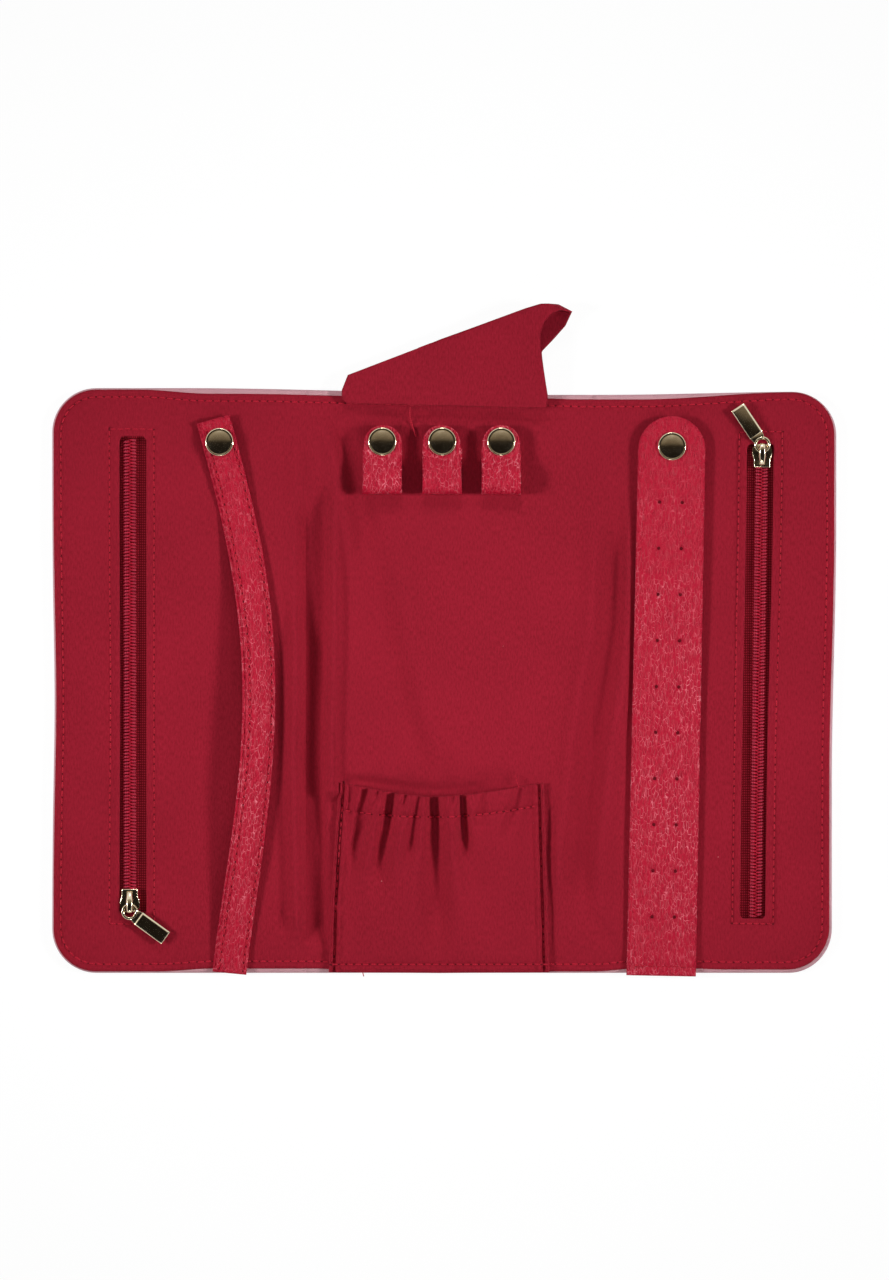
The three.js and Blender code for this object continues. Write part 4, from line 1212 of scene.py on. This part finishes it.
sewn, holes = [], []
strap_stitches = 66
for across in (-ring_width * face_share / 2 + 1.5, ring_width * face_share / 2 - 1.5):
    for i in range(strap_stitches):
        points = []
        for share in (0.1, 0.9):
            t = 0.018 + 0.966 * (i + share) / strap_stitches
            middle, sideways, out = ring_frame(t)
            points.append(middle + sideways * (across + face_shift)
                          + out * (ring_section(across, t) + 0.05))
        run = points[1] - points[0]
        sewn.append(stitch(*points, seam_width))
        holes.append(pierced(points[0] - run * 0.15, run, 0.32))
middle, sideways, out = ring_frame(0.984)
for i in range(3):
    ends = [middle + sideways * (-4.6 + 3.1 * i + off) + Vector((0, 0, 1.6)) for off in (0.2, 2.8)]
    sewn.append(stitch(*ends, seam_width))
ring_stitches = slim_pieces(sewn, "ring_strap_stitching", red_thread)
# Dark dimples of painted shade at the stitch holes
ring_holes = slim_pieces(holes, "ring_strap_painted_hole_shades", painted_hole_shade)
for piece in (ring_stitches, ring_holes):
    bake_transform(piece)


# Earring strap
# A wide strap of two bonded layers of leatherette with a round end, punched
# with ten pairs of holes for earring posts and sewn in at the bottom edge.
earring_width = 25.8
earring_length = 215.3
earring_slope = math.atan(1.7 / (earring_length - 11.6))
earring_matrix = (Matrix.Translation((83.7, -113.6, 4.1))
                  @ Matrix.Rotation(math.radians(-1.05), 4, "Z")
                  @ Matrix.Rotation(earring_slope, 4, "X"))
earring_seam = 3.7
hole_radius = 0.68
hole_places = [Vector((x, earring_length - 33.1 - row * 17.73, 0))
               for row in range(10) for x in (-4.3, 4.3)]


def earring_top(x, y):
    """Top of the strap: soft edges, dimpled holes and a slight bow across."""
    edge = earring_width / 2 - abs(x)
    if y > earring_length - earring_width / 2:
        edge = earring_width / 2 - math.hypot(x, y - earring_length + earring_width / 2)
    nearest = min((Vector((x, y, 0)) - hole).length for hole in hole_places)
    top = 1.55 - 0.4 * (1 - smooth(edge, 0, 0.9))
    top -= 0.35 * ridge(max(nearest - hole_radius, 0), 0, 0.55)
    return top + 0.12 * drift(x / 7, y / 9, 2.0) - 0.3 * ridge(y, earring_seam, 0.9)


straight = earring_length - earring_width / 2
straight_rows, round_rows = 250, 18
bm = unit_grid(34, straight_rows + round_rows)
for v in bm.verts:
    step = (v.co.y + 0.5) * (straight_rows + round_rows)
    half = earring_width / 2
    if step <= straight_rows:
        y = straight * step / straight_rows
    else:
        turn = (step - straight_rows) / round_rows * math.radians(88)
        y = straight + half * math.sin(turn)
        half *= math.cos(turn)
    widened = 1 + 0.035 * (1 - y / earring_length)
    v.co = Vector((2 * v.co.x * half * widened - 0.35 * (1 - y / earring_length), y, 0))
for hole in hole_places:
    nearest = min(bm.verts, key=lambda v: (v.co - hole).length_squared)
    rim = {v for f in nearest.link_faces for v in f.verts} - {nearest}
    bmesh.ops.delete(bm, geom=[nearest], context="VERTS")
    for v in rim:
        v.co = hole + (v.co - hole).normalized() * hole_radius
extruded = bmesh.ops.extrude_face_region(bm, geom=bm.faces[:])["geom"]
upper = set(verts_in(extruded))
places = []
for v in bm.verts:
    places.append((v.co.x * mm, v.co.y * mm))
    v.co.z = earring_top(v.co.x, v.co.y) if v in upper else 0.0
bmesh.ops.recalc_face_normals(bm, faces=bm.faces)
bmesh.ops.transform(bm, matrix=earring_matrix, verts=bm.verts)
earring_strap = finished(bm, "earring_strap_leatherette", red_leatherette)
strap_uv(earring_strap, places)
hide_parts("earring_strap_back", "earring_strap_face")
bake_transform(earring_strap)

sewn = []
for i in range(8):
    start = Vector((-earring_width / 2 + 1.4 + i * 3.05, earring_seam, 1.35))
    sewn.append(earring_matrix @ stitch(start, start + Vector((2.3, 0, 0)), seam_width))
earring_stitches = slim_pieces(sewn, "earring_strap_stitching", red_thread)
# Dark discs down inside the punched holes: painted shade in the holes
insides = [earring_matrix @ Matrix.Translation(hole + Vector((0, 0, 0.9)))
           @ Matrix.Diagonal((0.67, 0.67, 0.16, 1)) for hole in hole_places]
hole_shade_discs = slim_pieces(insides, "earring_strap_hole_shade", painted_hole_shade)
for piece in (earring_stitches, hole_shade_discs):
    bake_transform(piece)


# Necklace loops
# Three short leatherette straps, sewn to the lining by one leg. The free leg
# folds over the chain and snaps down on it.
loop_places = (-23.9, -0.9, 21.8)
loop_width = 15.2
loop_bend = (75.3, 8.0)
bend_radius = 3.3
fixed_end = 94.6
free_end = 98.0

# Course of a loop seen from the side: the fixed leg, the bend and the free leg
loop_path = [(fixed_end, 4.7), (90, 4.7), (84, 4.7), (78, 4.7), (loop_bend[0], 4.7)]
loop_path += [(loop_bend[0] + bend_radius * math.cos(math.radians(turn)),
               loop_bend[1] + bend_radius * math.sin(math.radians(turn)))
              for turn in (250, 230, 210, 190, 170, 150, 130, 110, 92)]
loop_path += [(77.5, 11.15), (79.8, 10.75), (82.0, 9.9), (84.0, 8.8), (85.8, 8.1), (88, 7.92),
              (91.8, 7.9), (95, 7.9), (free_end, 7.88)]


def along_path(path, share):
    """Point on a path of (y, z) points at a share of its length."""
    runs = [math.dist(a, b) for a, b in zip(path, path[1:])]
    want = share * sum(runs)
    for (a, b), run in zip(zip(path, path[1:]), runs):
        if want <= run + 1e-9:
            part = want / run
            return a[0] + (b[0] - a[0]) * part, a[1] + (b[1] - a[1]) * part
        want -= run
    return path[-1]


def loop_half_width(share, y):
    """Half width: full along the loop and round at its free end."""
    half = loop_width / 2 - 0.35 * smooth(share, 0.5, 0.8)
    radius = loop_width * 0.44
    into = y - ((free_end if share > 0.5 else fixed_end) - radius)
    if into > 0:
        half -= radius - math.sqrt(max(radius ** 2 - into ** 2, 0.0))
    return half


loop_length = sum(math.dist(a, b) for a, b in zip(loop_path, loop_path[1:]))
for number, x in enumerate(loop_places, 1):
    bm = unit_grid(16, 84)
    places = []
    for v in bm.verts:
        share = 0.5 - 0.5 * math.cos(math.pi * (v.co.y + 0.5))
        y, z = along_path(loop_path, share)
        across = 2 * v.co.x * loop_half_width(share, y)
        lean = 0.35 * math.sin(number * 2.1) * smooth(share, 0.3, 1.0)
        bulge = 0.12 * drift(across / 4, share * 9, number * 3.3)
        places.append(((across + number * 31) * mm, share * loop_length * mm))
        v.co = Vector((x + across + lean * (y - 71) / 27, y, z + bulge))
    bmesh.ops.reverse_faces(bm, faces=bm.faces)
    strap = finished(bm, f"necklace_loop_strap_{number}", red_leatherette)
    strap_uv(strap, places)
    thicken(strap, 1.2, 0.0)
    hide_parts(f"necklace_loop_{number}_back", f"necklace_loop_{number}_front")
    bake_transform(strap)


# Elastic pocket
# A patch of the lining's cotton, sewn down at its sides and at the bottom
# edge. Elastic in a stitched casing at its mouth draws it into gathers.
pocket_left_edge = [(-40.7, -39.4), (-42.2, -60), (-43.8, -85), (-44.6, -112.3)]
pocket_right_edge = [(38.3, -39.6), (38.9, -60), (39.7, -85), (40.4, -112.3)]
pocket_mouth = [(-40.7, -39.4), (-30, -41.4), (-18, -43.6), (-5, -44.9), (10, -43.9),
                (24, -41.8), (38.3, -39.6)]
pocket_foot = [(-44.6, -112.3), (-2, -112.6), (40.4, -112.3)]
pocket_edges = (pocket_mouth, pocket_foot, pocket_left_edge, pocket_right_edge)
pocket_width = 84.0
pocket_hem = -109.2

# Gathers: where each starts at the mouth and ends below, its half width and depth
gathers = [
    ((-29.6, -42), (-34.8, -74), 1.6, 3.0),
    ((-25.6, -43), (-31.0, -60), 0.9, 1.3),
    ((-20.0, -43), (-26.2, -84), 1.9, 3.6),
    ((-15.2, -44), (-17.8, -60), 0.9, 1.2),
    ((-9.8, -44), (-14.2, -72), 1.5, 2.8),
    ((-4.0, -45), (-2.4, -110), 2.8, 5.0),
    ((-24, -50), (-36, -90), 3.4, 1.3),
    ((8, -48), (12, -98), 4.2, 1.1),
    ((3.2, -45), (2.4, -57), 0.9, 1.2),
    ((6.8, -44), (7.2, -70), 1.3, 3.2),
    ((14.5, -43), (14.0, -56), 0.9, 0.9),
    ((28.2, -42), (23.0, -62), 1.2, 1.3),
]


def casing_line(x):
    """Height in plan of the stitches that close the elastic's casing."""
    return -52.4 + 3.6 * ((x + 4) / 42) ** 2 + 1.0 * smooth(x, -4, 38)


def point_on(line, share):
    """Point on a line of points at a share of its length."""
    return Vector((*along_path(line, share), 0))


def patch(bottom, top, left, right, u, w):
    """Place in plan on a sheet stretched between four edge lines."""
    edges = point_on(bottom, u) * (1 - w) + point_on(top, u) * w
    edges += point_on(left, w) * (1 - u) + point_on(right, w) * u
    corners = point_on(bottom, 0) * (1 - u) * (1 - w) + point_on(bottom, 1) * u * (1 - w)
    corners += point_on(top, 0) * (1 - u) * w + point_on(top, 1) * u * w
    return edges - corners


def gather_depth(x, y):
    """How far the gathers draw the cloth down, and the puffs between them."""
    depth = 0.0
    for (ax, ay), (bx, by), half_width, deep in gathers:
        share = (ay - y) / (ay - by)
        if share > 1.15:
            continue
        share = max(share, 0.0)
        centre = ax + (bx - ax) * share
        fade = 1 - smooth(share, 0.6, 1.12)
        off = (x - centre) / (half_width * (1 + share))
        depth += deep * fade * (ridge(off, 0, 1) - 0.4 * ridge(abs(off), 2.0, 0.9))
    return depth


def runs_across(edge):
    """Whether an edge runs more across the case than along it."""
    run = edge.verts[0].co - edge.verts[1].co
    return abs(run.x) > abs(run.y)


def pocket_height(x, y, u, down):
    """Height of the pocket's cloth over the case: down is 0 at the mouth, 1 at the foot."""
    from_side = min(u, 1 - u) * pocket_width
    open_share = smooth(from_side, 3.5, 17)
    swell = 5.9 * (1 - down) ** 0.9 * open_share
    tuck = gather_depth(x, y) * smooth(from_side, 3, 8) * (1 - 0.42 * down)
    casing = y - casing_line(x)
    groove = 0.55 * ridge(casing, 0, 0.7) * smooth(from_side, 1, 4)
    puff = 0.5 * smooth(casing, 0.5, 3.0) * (1 - smooth(casing, 5.0, 8.0)) * open_share
    side_seam = (1 + 0.6 * drift(y / 2.2, u * 7, 1.7)) * (
        1.1 * ridge(from_side, 2.0, 0.6) - 1.3 * ridge(from_side, 0.7, 0.5) - ridge(from_side, 3.6, 0.9))
    side_roll = 1.3 * (1 - smooth(from_side, 0.0, 0.8))
    ripple = 0.25 * drift(x / 9, y / 14, 5.5) * open_share
    ripple += 0.35 * drift(from_side / 1.6, y / 5.0, 9.1) * (1 - smooth(from_side, 3, 7))
    foot = 0.5 * ridge(y, pocket_hem, 0.8) + 0.9 * (1 - smooth(y + 112.6, 0.1, 1.3))
    base = lining_top + 1.15
    return base + swell - tuck - groove + puff - side_seam - side_roll + ripple - foot


bm = unit_grid(190, 120)
for v in bm.verts:
    u, down = v.co.x + 0.5, 0.5 - v.co.y
    place = patch(*pocket_edges, u, down)
    v.co = Vector((place.x, place.y, max(pocket_height(place.x, place.y, u, down), 4.2)))
mouth_edges = [e for e in bm.edges if e.is_boundary and edge_middle(e).y > -46 and runs_across(e)]
mouth_roll = [(0.2, -0.3), (0.05, -0.5), (-0.3, -0.5), (-2.4, -0.35), (-4.5, -0.1)]
turn_edge(bm, mouth_edges, mouth_roll, lambda x, y: Vector((0, 1, 0)))
pocket = finished(bm, "gathered_pocket", lining_cotton)
plan_uv(pocket)
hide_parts("elastic_pocket")

elastic_cloth = plain_finish("elastic", (0.75, 0.70, 0.66), 0.9, 1200.0, 0.12)
bm = unit_grid(120, 4)
for v in bm.verts:
    u = 0.07 + 0.86 * (v.co.x + 0.5)
    down = 0.066 - v.co.y * 0.115
    place = patch(*pocket_edges, u, down)
    v.co = Vector((place.x, place.y, pocket_height(place.x, place.y, u, down) - 0.95))
band = finished(bm, "pocket_elastic_band", elastic_cloth)
thicken(band, 0.5, -1.0)
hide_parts("pocket_elastic")


def pocket_point(x, y):
    """Point on the pocket's cloth over a place in plan, for a stitch."""
    u = (x + 40.7 + 3.9 * smooth(-y, 40, 112)) / (79.0 + 6.0 * smooth(-y, 40, 112))
    down = (-43 - y) / 69.5
    u, down = min(max(u, 0.0), 1.0), min(max(down, 0.0), 1.0)
    return Vector((x, y, pocket_height(x, y, u, down) + 0.1))


# Each row of stitches: its ends, its pitch, the stitch's length, the gap to the
# needle hole before it, and its line
sewn, holes = [], []
for x, end, pitch, length, gap, line in ((-38.0, 36.0, 2.65, 2.1, 0.27, casing_line),
                                         (-43.5, 40.0, 3.0, 2.4, 0.3, lambda x: pocket_hem)):
    while x < end:
        ends = [pocket_point(place, line(place)) for place in (x, x + length)]
        sewn.append(stitch(*ends, seam_width))
        holes.append(pierced(pocket_point(x - gap, line(x - gap))))
        x += pitch
for edge, offset in ((pocket_left_edge, 2.0), (pocket_right_edge, -2.0)):
    for i in range(25):
        ends = [point_on(edge, (i + share) / 25) for share in (0.06, 0.86)]
        ends = [pocket_point(end.x + offset, end.y) for end in ends]
        run = ends[1] - ends[0]
        sewn.append(stitch(*ends, seam_width))
        holes.append(pierced(ends[0] - run * 0.14, run))
pocket_stitches = slim_pieces(sewn, "pocket_stitching", red_thread)
# Dark dimples of painted shade at the stitch holes
pocket_holes = slim_pieces(holes, "pocket_painted_hole_shades", painted_hole_shade)
for piece in (pocket, band, pocket_stitches, pocket_holes):
    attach(piece, "centre_panel")
    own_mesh(piece)


# Necklace flap
# A doubled panel of the same cotton, sewn in along the top edge. It has been
# thrown back over the edge, where it lies folded with its open end rolled.
flap_fold = [(-37.2, 117.6), (0.2, 131.9), (34.5, 143.3), (40.5, 144.9), (44.0, 144.6),
             (49.1, 141.9)]
front_foot = [(-37.6, 106.9), (-4.0, 106.2), (14.1, 105.7), (28, 105.2), (39.2, 105.3)]
front_left = [(-37.6, 106.9), (-39.5, 108.3), (-39.5, 111.8), (-37.2, 117.6)]
front_right = [(39.2, 105.3), (39.8, 109.1), (38.2, 119.0), (37.1, 127.0), (36.8, 133.0),
               (38.2, 137.6), (41.3, 141.0), (45.0, 142.4), (49.1, 141.9)]
back_foot = [(-37.8, 107.4), (39.2, 106.2)]
back_left = [(-37.8, 107.4), (-38.4, 112.0), (-37.2, 117.6)]
back_right = [(39.2, 106.2), (38.2, 118.0), (37.4, 126.6), (42.0, 131.4), (46.6, 136.6),
              (49.1, 141.9)]


def flap_place(u, around):
    """Place on the folded flap: around is 0 at the front's foot, 1 at the back's."""
    front = around < 0.5
    w = 2 * around if front else 2 * (1 - around)
    if front:
        place = patch(front_foot, flap_fold, front_left, front_right, u, w)
    else:
        place = patch(back_foot, flap_fold, back_left, back_right, u, w)
    roll = 0.7 + 3.3 * smooth(u, 0.5, 1.0) ** 1.5
    middle = 5.1 + 1.9 * smooth(u, 0.3, 1.0)
    into = min((1 - w) * (11.0 + 27.0 * u) / (roll * 1.6), 1.0)
    swell = roll * math.sqrt(max(1 - (1 - into) ** 2, 0.0))
    settle = smooth(1 - w, 0.15, 0.95)
    if front:
        high = middle + swell
        z = high + (6.7 + 0.6 * u - high) * settle
        z += 0.35 * drift(place.x / 16, place.y / 12, 8.2)
    else:
        low = middle - swell
        z = low + (4.75 - low) * settle
    return Vector((place.x, place.y, max(z, 0.5)))


bm = unit_grid(110, 96)
for v in bm.verts:
    around = v.co.y + 0.5
    even = 0.5 + 0.5 * math.copysign(abs(2 * around - 1) ** 1.6, 2 * around - 1)
    v.co = flap_place(v.co.x + 0.5, even)
foot_edges = [e for e in bm.edges if e.is_boundary and edge_middle(e).y < 107.2
              and edge_middle(e).z > 5.2 and runs_across(e)]
foot_roll = [(0.3, -0.15), (0.15, -0.35), (-0.1, -0.45), (-0.4, -0.25), (-1.5, -0.1)]
turn_edge(bm, foot_edges, foot_roll, lambda x, y: Vector((0, -1, 0)))
flap = finished(bm, "folded_flap", lining_cotton)
plan_uv(flap)
thicken(flap, 0.5, -1.0)
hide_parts("necklace_flap")
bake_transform(flap)


# Loose threads
# Ends of the red thread, left at the flap's foot, at the pocket's corner and at
# its hem. Each is a thin bent tube that lies loose on the cloth.
def loose_thread(name, points, radius):
    """A thread end along a few points: a thin tube, closed at both ends."""
    curve = bpy.data.curves.new(name, "CURVE")
    curve.dimensions = "3D"
    curve.bevel_depth = radius * mm
    curve.bevel_resolution = 1
    curve.use_fill_caps = True
    spline = curve.splines.new("NURBS")
    spline.points.add(len(points) - 1)
    for point, place in zip(spline.points, points):
        point.co = (*(c * mm for c in place), 1)
    spline.use_endpoint_u = True
    spline.order_u = 3
    holder = bpy.data.objects.new(name + "_line", curve)
    bpy.context.collection.objects.link(holder)
    bpy.context.view_layer.update()
    mesh = bpy.data.meshes.new_from_object(holder)
    bpy.data.objects.remove(holder)
    mesh.materials.clear()
    mesh.materials.append(red_thread)
    piece = bpy.data.objects.new(name, mesh)
    bpy.context.collection.objects.link(piece)
    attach(piece, "centre_panel")


loose_thread("flap_thread_end", [(-13.2, 105.4, 4.6), (-13.6, 101.0, 4.7), (-12.0, 96.5, 4.75),
                                 (-10.8, 93.2, 4.7), (-11.6, 95.6, 4.9), (-12.9, 100.4, 5.0)],
             0.16)
loose_thread("pocket_thread_end", [(29.0, -41.6, 6.6), (27.6, -39.0, 6.9), (27.9, -37.4, 6.2),
                                   (27.2, -36.4, 5.4)], 0.15)
loose_thread("hem_thread_end", [(-31.5, -110.5, 4.4), (-31.6, -112.5, 3.9),
                                (-31.1, -113.9, 3.2)], 0.18)


# Table, light and camera
# A white table in a pale room, lit by four soft lamps that cross over the case.
# A dark ceiling shows only as a reflection in the metal.
bpy.context.scene.view_settings.view_transform = "Standard"


def seen(tree):
    """1 for rays from the camera, straight or by way of metal or glass, and 0 for the rest."""
    rays = add_node(tree, "LightPath", {}).outputs
    straight = maths(tree, "MAXIMUM", rays["Is Camera Ray"], rays["Is Glossy Ray"])
    return maths(tree, "MAXIMUM", straight, rays["Is Transmission Ray"])


def white_table():
    """Table top that keeps the case's shadow and looks white to the camera."""
    material, tree, shader = new_material("white table")
    feed(shader, {"Base Color": (0.82, 0.82, 0.82, 1), "Roughness": 0.9})
    glow = add_node(tree, "Emission", {"Strength": 1.04})
    both = add_node(tree, "MixShader", {"Fac": maths(tree, "MULTIPLY", seen(tree), 0.9),
                                        1: shader.outputs[0], 2: glow.outputs[0]})
    feed(tree.nodes["Material Output"], {"Surface": both.outputs[0]})
    return material


bm = bmesh.new()
bmesh.ops.create_grid(bm, x_segments=1, y_segments=1, size=4000)
table_top = finished(bm, "table_top", white_table(), shade=False)

world = bpy.data.worlds.new("studio")
bpy.context.scene.world = world
world.use_nodes = True
sky = world.node_tree
feed(sky.nodes["Background"], {"Color": (1, 1, 1, 1),
                               "Strength": maths(sky, "MULTIPLY_ADD", seen(sky), 0.92, 0.08)})


lamp_size = 0.22
lamp_beam = math.radians(42)


def soft_lamp(name, place, target, power):
    """Square lamp with a narrow beam, aimed beyond the case's middle."""
    lamp = bpy.data.lights.new(name, "AREA")
    lamp.shape = "SQUARE"
    lamp.size = lamp_size
    lamp.energy = power
    lamp.spread = lamp_beam
    holder = bpy.data.objects.new(name, lamp)
    holder.location = place
    holder.rotation_euler = (Vector(target) - Vector(place)).to_track_quat("-Z", "Y").to_euler()
    bpy.context.collection.objects.link(holder)


soft_lamp("left lamp", (-0.97, 0.02, 0.68), (0.12, 0.0, 0), 0.53)
soft_lamp("right lamp", (0.97, 0.02, 0.68), (-0.12, 0.0, 0), 0.57)
soft_lamp("near lamp", (0, -1.05, 0.8), (0, 0.05, 0), 0.13)
soft_lamp("far lamp", (0, 1.05, 0.8), (0, -0.05, 0), 0.20)


def make_dark_wall():
    """Unlit, near black, brightening into warm grey along its length."""
    material, tree, shader = new_material("dark wall")
    tree.nodes.remove(shader)
    along = add_node(tree, "SeparateXYZ", {0: texture_place(tree, "Object")}).outputs["Y"]
    shade = add_node(tree, "ValToRGB", {"Fac": ranged(tree, along, 0.0, 0.75)})
    stops = shade.color_ramp.elements
    stops[0].color = (0.012, 0.010, 0.008, 1)
    stops[1].color = (0.42, 0.37, 0.29, 1)
    stops.new(0.22).color = (0.022, 0.018, 0.013, 1)
    stops.new(0.34).color = (0.17, 0.14, 0.10, 1)
    glow = add_node(tree, "Emission", {"Color": shade.outputs["Color"]})
    feed(tree.nodes["Material Output"], {"Surface": glow.outputs[0]})
    return material


bm = bmesh.new()
bmesh.ops.create_grid(bm, x_segments=1, y_segments=1, size=1500)
bmesh.ops.translate(bm, vec=(0, -750, 1400), verts=bm.verts)
ceiling = finished(bm, "dark_ceiling", make_dark_wall(), shade=False)
ceiling.visible_camera = False
ceiling.visible_diffuse = False
ceiling.visible_shadow = False

frame_height = 0.4928
camera_distance = 2.0
camera_data = bpy.data.cameras.new("camera")
camera_data.sensor_width = 36.0
camera_data.lens = 36.0 * camera_distance / frame_height
camera = bpy.data.objects.new("camera", camera_data)
camera.location = (0.0, 0.0156, camera_distance + lining_top * mm)
bpy.context.collection.objects.link(camera)
bpy.context.scene.camera = camera
